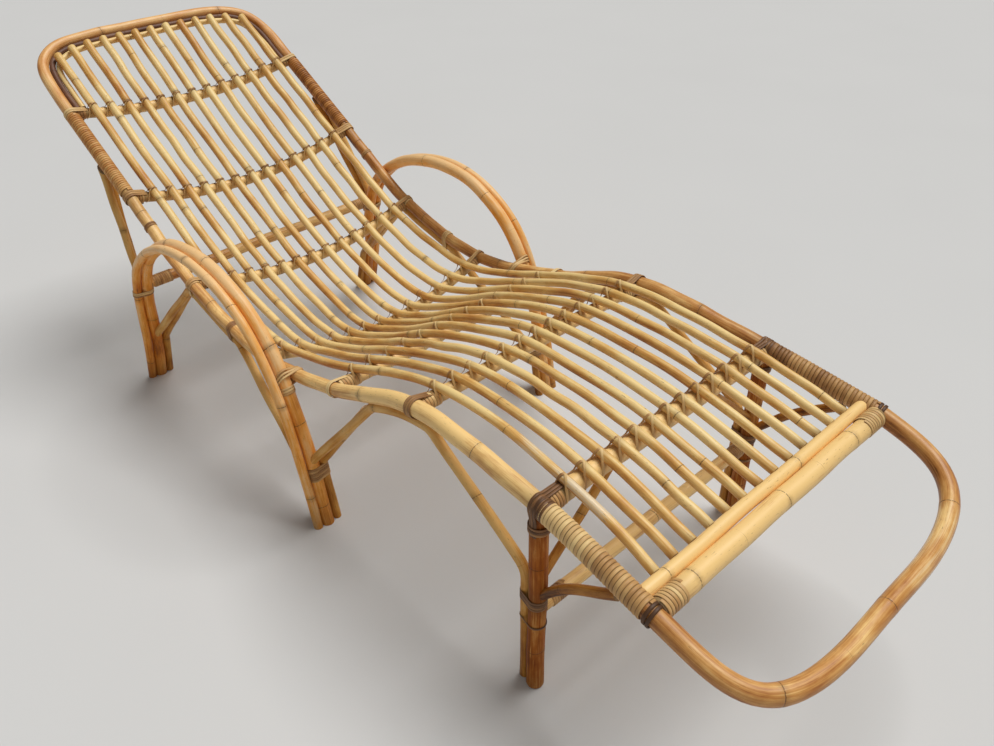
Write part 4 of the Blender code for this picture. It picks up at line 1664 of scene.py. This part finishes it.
@dataclass
class Stays(Assembly):
    """The pairs of stays from under the head splices down behind the rear legs, one behind the other."""

    top: float = 0.120
    landing: float = 0.262
    bottom: float = 0.208
    out: float = 0.006
    winding: float = 0.0016
    top_turn: float = math.radians(60.0)
    bottom_turn: float = math.radians(17.0)
    tones: tuple[float, float, float] = (0.35, 0.6, 0.2)
    rear_dim: float = 0.5

    def build(self) -> None:
        """Makes the stays."""
        lines = self.lines
        head = lines.side.at(self.top)
        above = upright(lines.side.heading(self.top))
        below = head - above * (lines.rail_width(head) / 2.0 + self.winding)
        leg = lines.beside_leg(True, self.bottom, self.landing, lines.stay, False)
        corners = np.array([head, *leg[::-1]]) + ACROSS * self.out
        runs = [-upright(after - before) for before, after in zip(corners, corners[1:])]
        mitres = [(before + after) / (1.0 + before @ after) for before, after in zip(runs, runs[1:])]
        behind = np.array([runs[0], *mitres, runs[-1]])
        apart = (lines.stay + lines.gap) / math.cos((self.top_turn - self.bottom_turn) / 2.0)
        turns = np.array([(self.top_turn, *(self.bottom_turn,) * len(leg))]).T
        away = apart * (np.cos(turns) * behind - np.sin(turns) * ACROSS)
        for side in Side:
            # The rear stay lies behind the front one, and painted shade makes it darker.
            for name, shift, painted_shade in (("back_stay", 0.0, 0.0), ("back_stay_rear", 1.0, self.rear_dim)):
                tones = [(share, tone - painted_shade) for share, tone in zip((0.0, 0.6, 1.0), self.tones)]
                self.make(Cane(f"{name}_{side.tag}", side.route(bend(corners + away * shift)), lines.stay,
                               Finish.BRACE, tones, cuts=(Cut(side.place(below), above),)))


@dataclass
class Braces(Assembly):
    """The braces bent along under the rails from leg to leg, and the struts on their inner sides."""

    seat_foot: float = 0.116
    seat_on: float = -0.360
    seat_off: float = -0.198
    seat_landing: float = 0.080
    knee_foot: float = 0.128
    knee_on: float = 0.200
    knee_off: float = 0.342
    knee_landing: float = 0.232
    sunk: float = 0.001
    strut_short: float = 0.040
    strut_tilts: tuple[float, float] = (math.radians(68.0), math.radians(112.0))
    tones: Tones = ((0.0, 0.35), (0.3, 0.45), (0.7, 0.3), (1.0, -0.2))
    strut_tones: Tones = ((0.0, -0.4), (0.4, 0.0), (1.0, 0.4))

    def build(self) -> None:
        """Makes the braces and struts."""
        lines = self.lines
        width = lines.brace
        bottom = -lines.below_floor / 2.0
        behind_post = lines.post_foot - ALONG * ((lines.post + width) / 2.0 + lines.gap)
        down_post = [behind_post + UP * self.knee_landing, behind_post + UP * bottom]
        down_leg = lines.beside_leg(False, bottom, self.seat_landing, width, False)[::-1]
        seat_run = lines.under(self.seat_on, self.seat_off, width)
        knee_run = lines.under(self.knee_on, self.knee_off, width)
        for brace_name, strut_name, rear, foot_z, under, landing in (
                ("seat_brace", "rear_leg_strut", True, self.seat_foot, seat_run, down_leg),
                ("knee_brace", "arm_leg_strut", False, self.knee_foot, knee_run, down_post)):
            leg = lines.leg(rear)
            mark = leg.mark(foot_z, 2)
            foot, climb = leg.at(mark), leg.heading(mark)
            forward = -upright(climb)
            brace = bend([foot, *under, *landing])
            strut = bend(self._strut(rear, foot, climb, under[0], bottom))
            face = foot + forward * (lines.arm / 2.0 - self.sunk)
            for side in Side:
                chamfer = Cut(side.place(face), -forward)
                self.make(Cane(f"{brace_name}_{side.tag}", side.route(brace), width, Finish.BRACE, self.tones,
                               cuts=(chamfer, FLOOR_CUT)))
                self.make(Cane(f"{strut_name}_{side.tag}", side.route(strut), width, Finish.BRACE,
                               self.strut_tones, cuts=(FLOOR_CUT,)))

    def _strut(self, rear: bool, foot: Array, climb: Array, landing: Array, bottom: float) -> list[Array]:
        """The corners of a strut: up the inner side of a leg, then beside the brace, from below to above it.

        Args:
            rear: true for the strut at the rear leg.
            foot: where the brace meets the leg's axis.
            climb: the leg's direction there, upwards.
            landing: where the brace meets the rail.
            bottom: the height of the strut's foot below the floor, where it is cut.

        Returns:
            The corners.
        """
        lines = self.lines
        rise = (landing - foot) * FLAT
        run = float(np.linalg.norm(rise))
        rise = rise / run
        spacing = lines.brace + lines.gap
        low, high = (-upright(rise) * spacing * math.cos(tilt) - ACROSS * spacing * math.sin(tilt)
                     for tilt in self.strut_tilts)
        up = np.linalg.solve(np.array((climb[[0, 2]], -rise[[0, 2]])).T, low[[0, 2]])
        corner_z = float((foot + climb * up[0])[2])
        lean = (landing[1] - foot[1]) / run
        end = foot + high + (rise + ACROSS * lean) * (run - self.strut_short)
        return [*lines.beside_leg(rear, bottom, corner_z, lines.brace, True), end]


@dataclass
class FrontLegs(Assembly):
    """The front legs, their foot braces and their sideways diagonals."""

    brace_bottom: float = 0.196
    brace_run: float = 0.145
    knuckle: Place = (0.45, 0.50, 0.55)
    diagonal_bottom: float = 0.222
    diagonal_across: float = 0.155
    winding: float = 0.0016
    into_rail: float = 0.004
    into_post: float = 0.002
    into_bar: float = 0.003
    points: tuple[int, int] = (30, 20)
    sides: int = 20
    soft_end: float = 0.2
    knots: tuple[float, ...] = (0.085, 0.262)
    brace_knots: tuple[float, ...] = (0.075,)
    tones: Tones = ((0.0, 0.3), (0.12, 0.0), (1.0, 0.05))
    brace_tones: Tones = ((0.0, -0.6), (1.0, -0.5))
    diagonal_tones: Tones = ((0.0, -0.5), (0.5, 0.1), (1.0, 0.3))
    foot_stains: tuple[Stain, ...] = (Stain(0.0, 0.05, 0.35), Stain(0.19, 0.03, 0.6))
    top_stained: float = 0.04
    top_stain: float = 0.5

    def build(self) -> None:
        """Makes the legs and what braces them."""
        lines = self.lines
        foot = lines.post_foot
        bar = lines.bar("leg_crossbar")
        mark = lines.side.mark(foot[0] + self.brace_run)
        splice = lines.side.at(mark)
        drop = lines.rail_width(splice) / 2.0 + self.winding + lines.foot_brace / 2.0
        high = splice - upright(lines.side.heading(mark)) * drop
        low = foot + UP * self.brace_bottom
        brace = smooth([low, low + (high - low) * self.knuckle, high])
        head = lines.side.at(lines.side.mark(foot[0]))[2] - lines.rail / 2.0 + self.into_rail
        skin = lines.post / 2.0 - self.into_post
        post = np.linspace(foot, foot + UP * head, self.points[0])
        top = bar.at(foot[1] - self.diagonal_across)
        diagonal = np.linspace(foot + UP * self.diagonal_bottom, top, self.points[1])
        under_bar = Cut(top - UP * (bar.width / 2.0 - self.into_bar), UP)
        for side in Side:
            route = side.route(post)
            stains = (*self.foot_stains, Stain(route.length, self.top_stained, self.top_stain))
            self.make(Cane(f"front_leg_{side.tag}", route, lines.post, Finish.LEG, self.tones, self.knots,
                           stains=stains, sides=self.sides, soft_end=self.soft_end))
            front = Cut(side.place(foot + ALONG * skin), -ALONG)
            self.make(Cane(f"foot_brace_{side.tag}", side.route(brace), lines.foot_brace, Finish.BRACE,
                           self.brace_tones, self.brace_knots, cuts=(front,)))
            inner = Cut(side.place(foot - ACROSS * skin), side.place(ACROSS))
            self.make(Cane(f"leg_diagonal_{side.tag}", side.route(diagonal), lines.diagonal, Finish.BRACE,
                           self.diagonal_tones, cuts=(inner, under_bar)))


@dataclass
class Stretchers(Assembly):
    """The stretchers between the rear legs and between the front legs."""

    rear_z: float = 0.252
    front_z: float = 0.170
    sunk: float = 0.004
    rear_tone: float = 0.35
    front_tone: float = 0.65
    end_dim: float = 0.3
    points: int = 40
    sides: int = 18

    def build(self) -> None:
        """Makes the stretchers."""
        lines = self.lines
        leg = lines.leg(True)
        rear = leg.at(leg.mark(self.rear_z, 2)) - ACROSS * (lines.arm / 2.0 - self.sunk)
        front = lines.post_foot + UP * self.front_z - ACROSS * (lines.post / 2.0 - self.sunk)
        for node, end, tone in (("rear_stretcher", rear, self.rear_tone),
                                ("front_stretcher", front, self.front_tone)):
            route = Route(np.linspace(Side.RIGHT.place(end), end, self.points))
            tones = ((0.0, tone - self.end_dim), (0.3, tone), (1.0, tone))
            self.make(Cane(node, route, lines.stretcher, Finish.RAIL, tones, sides=self.sides))


@dataclass(frozen=True)
class Winding:
    """The close winding over the scarfs at one end of the rails, with its colours on each side."""

    end: str
    turns: int
    finish: Finish
    right: Tones
    left: Tones


@dataclass
class SpliceWindings(Assembly):
    """The close windings of flat peel over the scarfs of the rails."""

    depth: float = 0.0025
    cover: float = 0.97
    per_turn: int = 26
    jitter: float = 0.30
    head_clear: float = 0.010
    leg_clear: float = 0.018
    foot_clear: float = 0.007
    windings: tuple[Winding, ...] = (
        Winding("head", 42, Finish.BROWN_PEEL, ((0.0, 0.3), (0.5, 0.4), (1.0, 0.45)),
                ((0.0, -0.1), (0.5, 0.0), (1.0, 0.1))),
        Winding("foot", 29, Finish.TAN_PEEL,
                ((0.0, 0.65), (0.42, 0.6), (0.52, 0.2), (0.7, 0.35), (0.85, 0.2), (1.0, 0.1)),
                ((0.0, -0.35), (0.2, -0.2), (0.35, 0.3), (0.5, -0.1), (0.7, 0.2), (1.0, 0.0))))

    def build(self) -> None:
        """Makes the four windings."""
        lines = self.lines
        rail = lines.side
        leg_at = rail.mark(lines.bar("leg_crossbar").x)
        spans = {"head": (self.head_clear, rail.mark(lines.bars[1].x) - self.head_clear),
                 "foot": (leg_at + self.leg_clear, rail.length - self.foot_clear)}
        for winding in self.windings:
            start, stop = spans[winding.end]
            for side in Side:
                route = side.route(rail.points)
                radius = lines.rail_width(route.at((start + stop) / 2.0)) / 2.0
                lashing = Lashing(f"{winding.end}_splice_winding_{side.tag}", winding.finish)
                lashing.wrap(Pole(route, radius), start=start, end=stop, turns=winding.turns,
                             per_turn=self.per_turn, phase=math.pi / 2.0,
                             width=(stop - start) / winding.turns * self.cover, depth=self.depth,
                             tones=winding.right if side is Side.RIGHT else winding.left, jitter=self.jitter)
                lashing.build(f"{winding.end}_splice_binding_{side.tag}")


class Tie(Enum):
    """How the slats are tied to a crossbar: over each slat both ways, or up and down on one side of it."""

    CROSSED = (0.62, range(8, 12), ((1.0, 0.0, -0.45), (-1.0, 0.7, 1.2)))
    SINGLE = (0.9, range(4, 10), ((1.0, 0.0, 0.5),))

    def __init__(self, narrow: float, seen: range, strands: tuple[Place, ...]) -> None:
        """Names the values.

        Args:
            narrow: the share of the full width that a strand has.
            seen: which of its places round a slat show.
            strands: the way of each along the bar, how much of another it lies on, and how much paler it is
                painted where it shows, as painted light, which is below zero for painted shade.
        """
        self.narrow = narrow
        self.seen = seen
        self.strands = strands


@dataclass(frozen=True)
class SlatTie:
    """The ties along one crossbar: how they go, and their colour."""

    bar: str
    kind: Tie
    tone: float


@dataclass
class SlatTies(Assembly):
    """The strands that tie the slats to the crossbars, one or two along each bar."""

    width: float = 0.0046
    depth: float = 0.0011
    steps: int = 5
    proud: float = 0.0006
    slack: float = 0.0010
    jitter: float = 0.25
    every: float = 0.05
    under_dim: float = -0.2
    ties: tuple[SlatTie, ...] = (
        SlatTie("back_crossbar_upper", Tie.CROSSED, 0.15), SlatTie("back_crossbar_middle", Tie.CROSSED, 0.05),
        SlatTie("back_crossbar_lower", Tie.CROSSED, 0.15), SlatTie("seat_crossbar_rear", Tie.SINGLE, 0.3),
        SlatTie("seat_crossbar_middle", Tie.SINGLE, 0.5), SlatTie("knee_crossbar", Tie.SINGLE, 0.35),
        SlatTie("leg_crossbar", Tie.SINGLE, 0.1))

    def build(self) -> None:
        """Makes the ties of each bar."""
        for tie in self.ties:
            lashing = Lashing(f"{tie.bar}_slat_ties")
            for way, over, pale in tie.kind.strands:
                lashing.strands.append(self._strand(tie, way, self.depth * over, pale))
            lashing.build()

    def _strand(self, tie: SlatTie, way: float, lift: float, pale: float) -> Strand:
        """One strand along a bar, over every slat and under the bar between them.

        Args:
            tie: the ties of the bar.
            way: 1 for a strand from right to left, and -1 for one back.
            lift: how far it lies on another strand.
            pale: how much paler it is painted where it shows, as painted light; below zero, darker as painted
                shade.

        Returns:
            The strand.
        """
        lines = self.lines
        bar = lines.bar(tie.bar)
        ys = lines.slat_ys(bar.half)
        out = self.depth / 2.0 + lift
        slat_d = lines.slat_width(bar.at(0.0))
        turn = self._turn(tie.kind, float(ys[1] - ys[0]), bar.width / 2.0 + out, slat_d / 2.0 + out,
                          (bar.width + slat_d) / 2.0)
        path = []
        for number in range(lines.slat_count)[::int(way)]:
            y = float(ys[number])
            ahead = self.poles[slat_node(number)].route.cross(bar.at(y), ALONG)[1]
            along = unit(ahead * FLAT)
            above = upright(along)
            for aside, forward, up, facing in turn:
                point = bar.at(y + aside * way) + along * forward + above * up
                path.append((point, unit(along * facing[0] + above * facing[1] + ACROSS * facing[2] * way)))
        points, normals = strip_course(path, self.steps)
        marks = Route(points).marks[::self.steps]
        # Painted light and shade: the places that show take each strand's own lift in tone, and the places
        # under the bar and slats are darkened.
        tones = [(mark / marks[-1], tie.tone + (pale if i % len(turn) in tie.kind.seen else self.under_dim))
                 for i, mark in enumerate(marks)]
        width = self.width * tie.kind.narrow
        return Strand(points, normals, width, self.depth, tones, self.jitter, self.every)

    def _turn(self, kind: Tie, pitch: float, bar_r: float, slat_r: float,
              level: float) -> list[tuple[float, float, float, Place]]:
        """The places of a strand round one slat.

        Args:
            kind: how the strand goes.
            pitch: the distance between slats.
            bar_r: the strand's distance from the bar's axis where it lies on the bar.
            slat_r: its distance from the slat's axis where it lies on the slat.
            level: the height of the slat's axis over the bar's.

        Returns:
            Across, along and above from where the slat crosses the bar, and the way that the strip faces.
        """
        if kind is Tie.SINGLE:
            return [
                (-0.62 * pitch, -0.80 * bar_r, 0.60 * bar_r, (-0.80, 0.60, 0.0)),
                (-0.30 * pitch, -0.62 * bar_r, 0.62 * level + 0.10 * slat_r, (-0.6, 0.7, -0.4)),
                (-0.94 * slat_r, -0.50 * bar_r, level + 0.35 * slat_r, (-0.2, 0.4, -0.9)),
                (-0.40 * slat_r, -0.42 * bar_r, level + 0.92 * slat_r, (0.0, 0.92, -0.4)),
                (0.06 * slat_r, -0.26 * bar_r, level + slat_r, (0.0, 1.0, 0.0)),
                (-0.36 * slat_r, -0.02 * bar_r, level + 0.94 * slat_r, (0.0, 0.94, -0.36)),
                (-0.94 * slat_r, 0.36 * bar_r, level + 0.34 * slat_r, (0.2, 0.4, -0.9)),
                (-slat_r - self.proud, 0.80 * bar_r, 0.60 * bar_r, (0.80, 0.60, -0.2)),
                (-slat_r - self.slack, bar_r, -0.05 * bar_r, (1.0, -0.05, 0.0)),
                (-slat_r + self.slack, 0.66 * bar_r, -0.75 * bar_r, (0.66, -0.75, 0.0)),
                (-0.06 * pitch, 0.0, -bar_r, (0.0, -1.0, 0.0)),
                (0.16 * pitch, -0.71 * bar_r, -0.70 * bar_r, (-0.71, -0.70, 0.0)),
                (0.28 * pitch, -bar_r, 0.0, (-1.0, 0.0, 0.0)),
            ]
        return [
            (-0.49 * pitch, -0.17 * bar_r, -0.98 * bar_r, (-0.17, -0.98, 0.0)),
            (-0.46 * pitch, -bar_r, -0.09 * bar_r, (-1.0, -0.09, 0.0)),
            (-0.36 * pitch, -0.77 * bar_r, 0.64 * bar_r, (-0.77, 0.64, 0.0)),
            (-1.02 * slat_r, -0.55 * bar_r, 0.90 * bar_r, (-0.5, 0.8, -0.3)),
            (-0.90 * slat_r, -0.30 * bar_r, level + 0.38 * slat_r, (-0.2, 0.38, -0.9)),
            (-0.45 * slat_r, -0.16 * bar_r, level + 0.90 * slat_r, (0.0, 0.90, -0.45)),
            (0.0, 0.0, level + slat_r, (0.0, 1.0, 0.0)),
            (0.45 * slat_r, 0.16 * bar_r, level + 0.90 * slat_r, (0.0, 0.90, 0.45)),
            (0.90 * slat_r, 0.36 * bar_r, level + 0.38 * slat_r, (0.1, 0.38, 0.9)),
            (slat_r + self.proud, 0.60 * bar_r, 0.82 * bar_r, (0.60, 0.80, 0.1)),
            (0.37 * pitch, 0.98 * bar_r, 0.17 * bar_r, (0.98, 0.17, 0.0)),
            (0.45 * pitch, 0.71 * bar_r, -0.71 * bar_r, (0.71, -0.71, 0.0)),
        ]


@dataclass(frozen=True)
class EndTie:
    """The tie of a crossbar's end: turns round the bar, and loops round the rail from a place along it."""

    bar: str
    turns: float
    loops: float
    shift: float
    bar_tone: float
    loop_tone: float
    width: float = 0.0050
    hold: float = 0.012


@dataclass
class BarEndTies(Assembly):
    """The ties of the crossbars' ends to the rails."""

    depth: float = 0.0015
    lift: float = 0.9
    jitter: float = 0.3
    tucked: float = 0.0005
    turn_pitch: float = 1.08
    loop_pitch: float = 1.02
    left_lit: float = 0.1
    stub_half: float = 0.06
    stub_share: float = 0.9
    ties: tuple[EndTie, ...] = (
        EndTie("back_crossbar_upper", 3.0, 2.0, -0.004, -0.05, 0.6, 0.0056),
        EndTie("back_crossbar_middle", 3.0, 3.0, -0.006, 0.2, 0.2),
        EndTie("back_crossbar_lower", 4.0, 2.0, -0.004, 0.1, 0.2),
        EndTie("seat_crossbar_rear", 4.0, 2.0, -0.004, 0.3, 0.4),
        EndTie("seat_crossbar_middle", 7.0, 2.0, -0.006, 0.55, 0.9),
        EndTie("knee_crossbar", 6.0, 3.0, -0.008, 0.45, -0.2),
        EndTie("leg_crossbar", 4.0, 4.0, -0.002, 0.05, -0.5, 0.0048, 0.0),
        EndTie("foot_crossbar", 7.0, 2.0, -0.006, 0.4, -0.7, 0.0052, 0.0))

    def build(self) -> None:
        """Makes the ties of each bar, one piece for each side."""
        lines = self.lines
        for tie in self.ties:
            bar = lines.bar(tie.bar)
            rail_r = lines.rail_width(bar.at(0.0)) / 2.0
            start = rail_r - self.tucked
            stop = start + tie.turns * tie.width * self.turn_pitch
            at = lines.outline_mark(lines.side.mark(bar.x + bar.ahead))
            loop_start = at + tie.shift
            loop_stop = loop_start + tie.loops * tie.width * self.loop_pitch
            strip = {"width": tie.width, "depth": self.depth, "jitter": self.jitter}
            for side in Side:
                lit = self.left_lit if side is Side.LEFT else 0.0
                lashing = Lashing(f"{bar.name}_end_ties_{side.tag}")
                pole = Pole(bar.route(), bar.width / 2.0)
                lashing.wrap(pole.turned() if side is Side.LEFT else pole, start=start, end=stop,
                             turns=tie.turns, tone=tie.bar_tone + lit, **strip)
                rail = Pole(side.route(lines.outline.points), rail_r)
                held = side.place(bar.at(bar.half - rail_r - tie.hold))
                reach = rail.route.heading(at) * self.stub_half
                stub = Pole(Route([held - reach, held + reach]), bar.width / 2.0 * self.stub_share)
                bundle = (rail, stub) if tie.hold else (rail,)
                lashing.wrap(*bundle, start=loop_start, end=loop_stop, turns=tie.loops,
                             tone=tie.loop_tone + lit, lift=self.depth * self.lift,
                             phase=-math.pi / 2.0, **strip)
                lashing.build()


class Turns(NamedTuple):
    """Turns side by side round some poles: their place, how many they are, and their colour."""

    at: float
    count: float
    tone: float


@dataclass
class LegTies(Assembly):
    """The bindings where legs, braces, rails and stretchers meet."""

    width: float = 0.0044
    depth: float = 0.0014
    lift: float = 0.9
    pitch: float = 1.02
    jitter: float = 0.35
    arm_at: tuple[float, float] = (-0.008, 0.279)
    arm_slanted: Turns = Turns(0.05, 3.0, 0.55)
    arm_below: Turns = Turns(0.017, 3.0, 0.45)
    rail_behind: Turns = Turns(-0.489, 2.0, -0.1)
    arm_strut: Turns = Turns(0.105, 6.0, 0.0)
    post_top: Turns = Turns(-0.026, 3.0, -0.45)
    post_braced: tuple[Turns, ...] = (Turns(0.186, 4.0, -0.5), Turns(0.140, 1.0, -0.4))
    front_stretcher: Turns = Turns(0.030, 7.0, -0.05)
    rear_stretcher: Turns = Turns(0.026, 9.0, 0.1)
    rim_at: float = 0.236
    rim: tuple[Turns, ...] = (Turns(0.0045, 1.0, 0.8), Turns(0.0, 1.0, 0.4), Turns(-0.0045, 1.0, -0.2))
    seat_on: Turns = Turns(-0.346, 2.0, 0.6)
    seat_off: dict[Side, Turns] = field(default_factory=lambda: {
        Side.RIGHT: Turns(-0.215, 3.0, -0.2), Side.LEFT: Turns(-0.215, 3.0, 0.8)})
    over_shifts: tuple[float, ...] = (-0.0056, -0.0006, 0.0044)
    over_width: float = 0.0048
    over_tone: float = -0.5
    over_jitter: float = 0.25
    over_steps: int = 6
    over_starts: tuple[tuple[float, float], ...] = ((0.046, 0.9), (0.028, 1.0))
    over_turns: tuple[float, ...] = (120.0, 90.0, 60.0, 30.0, 0.0)
    over_drops: tuple[float, ...] = (0.020, 0.034, 0.046)

    def build(self) -> None:
        """Makes the bindings of each side."""
        for side in Side:
            self._arm(side)
            self._front(side)
            self._rear(side)

    def _wind(self, lashing: Lashing, bundle: Sequence[Pole], at: float, turns: Turns, **sizes: Any) -> None:
        """Adds turns side by side.

        Args:
            lashing: what they are added to.
            bundle: the poles that they go round.
            at: their middle along the first pole, or along the guide.
            turns: how many they are, and their colour.
            sizes: the wrap's other sizes.
        """
        half = turns.count * self.width * self.pitch / 2.0
        lashing.wrap(*bundle, start=at - half, end=at + half, turns=turns.count, width=self.width,
                     depth=self.depth, tone=turns.tone, jitter=self.jitter, **sizes)

    def _arm(self, side: Side) -> None:
        """Ties the arm hoop to the rail, on the slant where they pass, and its front leg to the strut.

        Args:
            side: the side of the chaise.
        """
        hoop, rail, strut = self.side_poles(side, "arm_hoop", "side_rail", "arm_leg_strut")
        lashing = Lashing(f"arm_ties_{side.tag}")
        near = side.place((self.arm_at[0], self.lines.arm_y, self.arm_at[1]))
        on_rail, on_hoop = (pole.route.nearest(near) for pole in (rail, hoop))
        middle = (rail.route.at(on_rail) + hoop.route.at(on_hoop)) / 2.0
        axis = unit(rail.route.heading(on_rail) + hoop.route.heading(on_hoop))
        reach = axis * self.arm_slanted.at
        self._wind(lashing, (rail, hoop), self.arm_slanted.at, self.arm_slanted, axis=axis,
                   guide=Route([middle - reach, middle + reach]), lift=self.depth * self.lift)
        self._wind(lashing, (hoop,), on_hoop + self.arm_below.at, self.arm_below)
        self._wind(lashing, (rail,), rail.route.mark(self.rail_behind.at), self.rail_behind)
        leg = Pole(side.route(self.lines.leg(False).points), hoop.radius)
        self._wind(lashing, (leg, strut), leg.route.mark(self.arm_strut.at, 2), self.arm_strut)
        lashing.build()

    def _front(self, side: Side) -> None:
        """Ties the front leg to the rail, the braces and the stretcher.

        Args:
            side: the side of the chaise.
        """
        post, brace = self.side_poles(side, "front_leg", "knee_brace")
        lashing = Lashing(f"front_leg_ties_{side.tag}")
        lashing.strands += [self._over_rail(side, shift) for shift in self.over_shifts]
        self._wind(lashing, (post,), post.route.length + self.post_top.at, self.post_top, lift=self.depth)
        for turns in self.post_braced:
            self._wind(lashing, (post, brace), turns.at, turns)
        stretcher = self.poles["front_stretcher"]
        bundle = (stretcher if side is Side.RIGHT else stretcher.turned(),)
        self._wind(lashing, bundle, self.front_stretcher.at, self.front_stretcher)
        lashing.build()

    def _over_rail(self, side: Side, shift: float) -> Strand:
        """A strand from the top of the leg crossbar over the rail and down the outside of the front leg.

        Args:
            side: the side of the chaise.
            shift: how far ahead of the leg's axis it runs.

        Returns:
            The strand.
        """
        lines = self.lines
        bar, foot = lines.bar("leg_crossbar"), lines.post_foot
        rail_r, bar_r = lines.rail / 2.0 + 2.0 * self.depth, bar.width / 2.0 + 1.5 * self.depth
        post_r = lines.post / 2.0 + self.depth / 2.0
        aside = np.array((shift, math.sqrt(post_r ** 2 - shift ** 2), 0.0))
        rail = lines.side.at(lines.side.mark(foot[0] + shift))
        path = [(bar.at(bar.half - inside) + ALONG * shift * share + UP * bar_r, UP)
                for inside, share in self.over_starts]
        for turn in np.radians(self.over_turns):
            facing = ACROSS * math.cos(turn) + UP * math.sin(turn)
            path.append((rail + facing * rail_r, facing))
        path += [(foot + aside + UP * (rail[2] - drop), unit(aside)) for drop in self.over_drops]
        points, facings = strip_course(path, self.over_steps)
        return Strand(side.place(points), side.place(facings), self.over_width, self.depth,
                      ((0.0, self.over_tone),), self.over_jitter)

    def _rear(self, side: Side) -> None:
        """Ties the rear leg, its stretcher and the seat brace.

        Args:
            side: the side of the chaise.
        """
        hoop, rim, rail, brace = self.side_poles(side, "arm_hoop", "arm_rim", "side_rail", "seat_brace")
        lashing = Lashing(f"rear_leg_ties_{side.tag}")
        leg = Pole(side.route(self.lines.leg(True).points), hoop.radius)
        for turns in self.rim:
            self._wind(lashing, (leg, rim), leg.route.mark(self.rim_at, 2) + turns.at, turns)
        stretcher = self.poles["rear_stretcher"]
        bundle = (stretcher if side is Side.RIGHT else stretcher.turned(),)
        self._wind(lashing, bundle, self.rear_stretcher.at, self.rear_stretcher)
        for turns in (self.seat_on, self.seat_off[side]):
            self._wind(lashing, (rail, brace), rail.route.mark(turns.at), turns)
        lashing.build()


@dataclass
class Nails(Assembly):
    """The heads of the thin nails at the slats' ends."""

    radius: float = 0.0015
    proud: float = 0.0006
    sunk: float = 0.0002
    mark: float = 0.005

    def build(self) -> None:
        """Makes the nail heads, as one piece."""
        mesh = bmesh.new()
        scale = Matrix.Diagonal((self.radius, self.radius, self.proud, 1.0))
        for number in range(self.lines.slat_count):
            route, radius = self.poles[slat_node(number)]
            ahead = route.heading(self.mark)
            above = upright(ahead)
            spot = route.at(self.mark) + above * (radius - self.sunk)
            frame = framed(np.cross(above, ahead), ahead, above, spot)
            bmesh.ops.create_icosphere(mesh, subdivisions=1, radius=1.0, matrix=frame @ scale)
        bmesh.ops.recalc_face_normals(mesh, faces=mesh.faces)
        piece = finished("nail_heads", mesh, Finish.NAIL)
        piece.data.shade_smooth()
        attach(piece, "root")


class Lamp(Enum):
    """The kinds of lamp in the studio, each with the setting that spreads its light."""

    SKYLIGHT = ("SUN", "angle")
    PANEL = ("AREA", "size")


@dataclass
class Studio:
    """A plain pale floor, soft lamps and the camera."""

    eye: Place = (1.1345, -0.8676, 1.1788)
    turn: Place = (54.178, 0.377, 46.391)
    lens: float = 32.608
    sensor: float = 36.0
    sight: float = 60.0
    floor_half: float = 9.0
    sky: float = 0.19
    sky_colour: Colour = (0.90, 0.90, 0.89)
    key: float = 2.75
    key_at: Place = (0.15, 1.0, 2.7)
    key_spread: float = math.radians(34.0)
    fill: float = 9.0
    fill_at: Place = (2.6, -2.2, 1.6)
    fill_spread: float = 2.0
    aim_height: float = 0.3

    def build(self) -> None:
        """Makes the studio."""
        scene = bpy.context.scene
        scene.view_settings.view_transform = "Standard"
        self._floor()
        self._world(scene)
        self._lamp("key_lamp", Lamp.SKYLIGHT, self.key_at, self.key_spread, self.key)
        self._lamp("fill_lamp", Lamp.PANEL, self.fill_at, self.fill_spread, self.fill)
        data = bpy.data.cameras.new("camera")
        data.lens = self.lens
        data.sensor_width = self.sensor
        data.clip_end = self.sight
        camera = bpy.data.objects.new("camera", data)
        camera.location = self.eye
        camera.rotation_euler = [math.radians(angle) for angle in self.turn]
        scene.collection.objects.link(camera)
        scene.camera = camera

    def _floor(self) -> None:
        """Makes the floor."""
        mesh = bmesh.new()
        bmesh.ops.create_grid(mesh, x_segments=1, y_segments=1, size=self.floor_half)
        floor = finished("floor", mesh, Finish.FLOOR)

    def _world(self, scene: bpy.types.Scene) -> None:
        """Makes an even pale sky, which the camera sees brighter than it lights.

        Args:
            scene: the scene that it goes into.
        """
        world = bpy.data.worlds.new("studio_sky")
        world.use_nodes = True
        scene.world = world
        shading = Shading(world.node_tree)
        seen = shading.node("ShaderNodeLightPath", output="Is Camera Ray")
        background = world.node_tree.nodes["Background"]
        shading.feed(background.inputs["Color"], self.sky_colour)
        shading.feed(background.inputs["Strength"], seen * (1.0 - self.sky) + self.sky)

    def _lamp(self, name: str, kind: Lamp, place: Place, spread: float, power: float) -> None:
        """Hangs one soft lamp, which points at the middle of the chaise.

        Args:
            name: its name.
            kind: a skylight, even all over, or a square panel.
            place: where it hangs.
            spread: the angle that a skylight fills, or the length of a panel's sides.
            power: its strength per square metre, or a panel's power in watts.
        """
        light, setting = kind.value
        data = bpy.data.lights.new(name, light)
        setattr(data, setting, spread)
        data.energy = power
        lamp = bpy.data.objects.new(name, data)
        lamp.location = place
        x, y, z = place
        lamp.rotation_euler = (math.atan2(math.hypot(x, y), z - self.aim_height), 0.0,
                               math.atan2(y, x) + math.pi / 2.0)
        bpy.context.scene.collection.objects.link(lamp)


def main() -> None:
    """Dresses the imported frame, and sets the studio round it."""
    logging.basicConfig(level=logging.INFO, format="%(name)s %(message)s")
    bpy.ops.wm.read_factory_settings(use_empty=True)
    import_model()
    lines = Lines()
    poles: dict[str, Pole] = {}
    for assembly in (RailFrame, Crossbars, Slats, Arms, Stays, Braces, FrontLegs, Stretchers, SpliceWindings,
                     SlatTies, BarEndTies, LegTies, Nails):
        assembly(lines, poles).build()
        LOG.info("%s done", assembly.__name__)
    Studio().build()


if __name__ == "__main__":
    main()
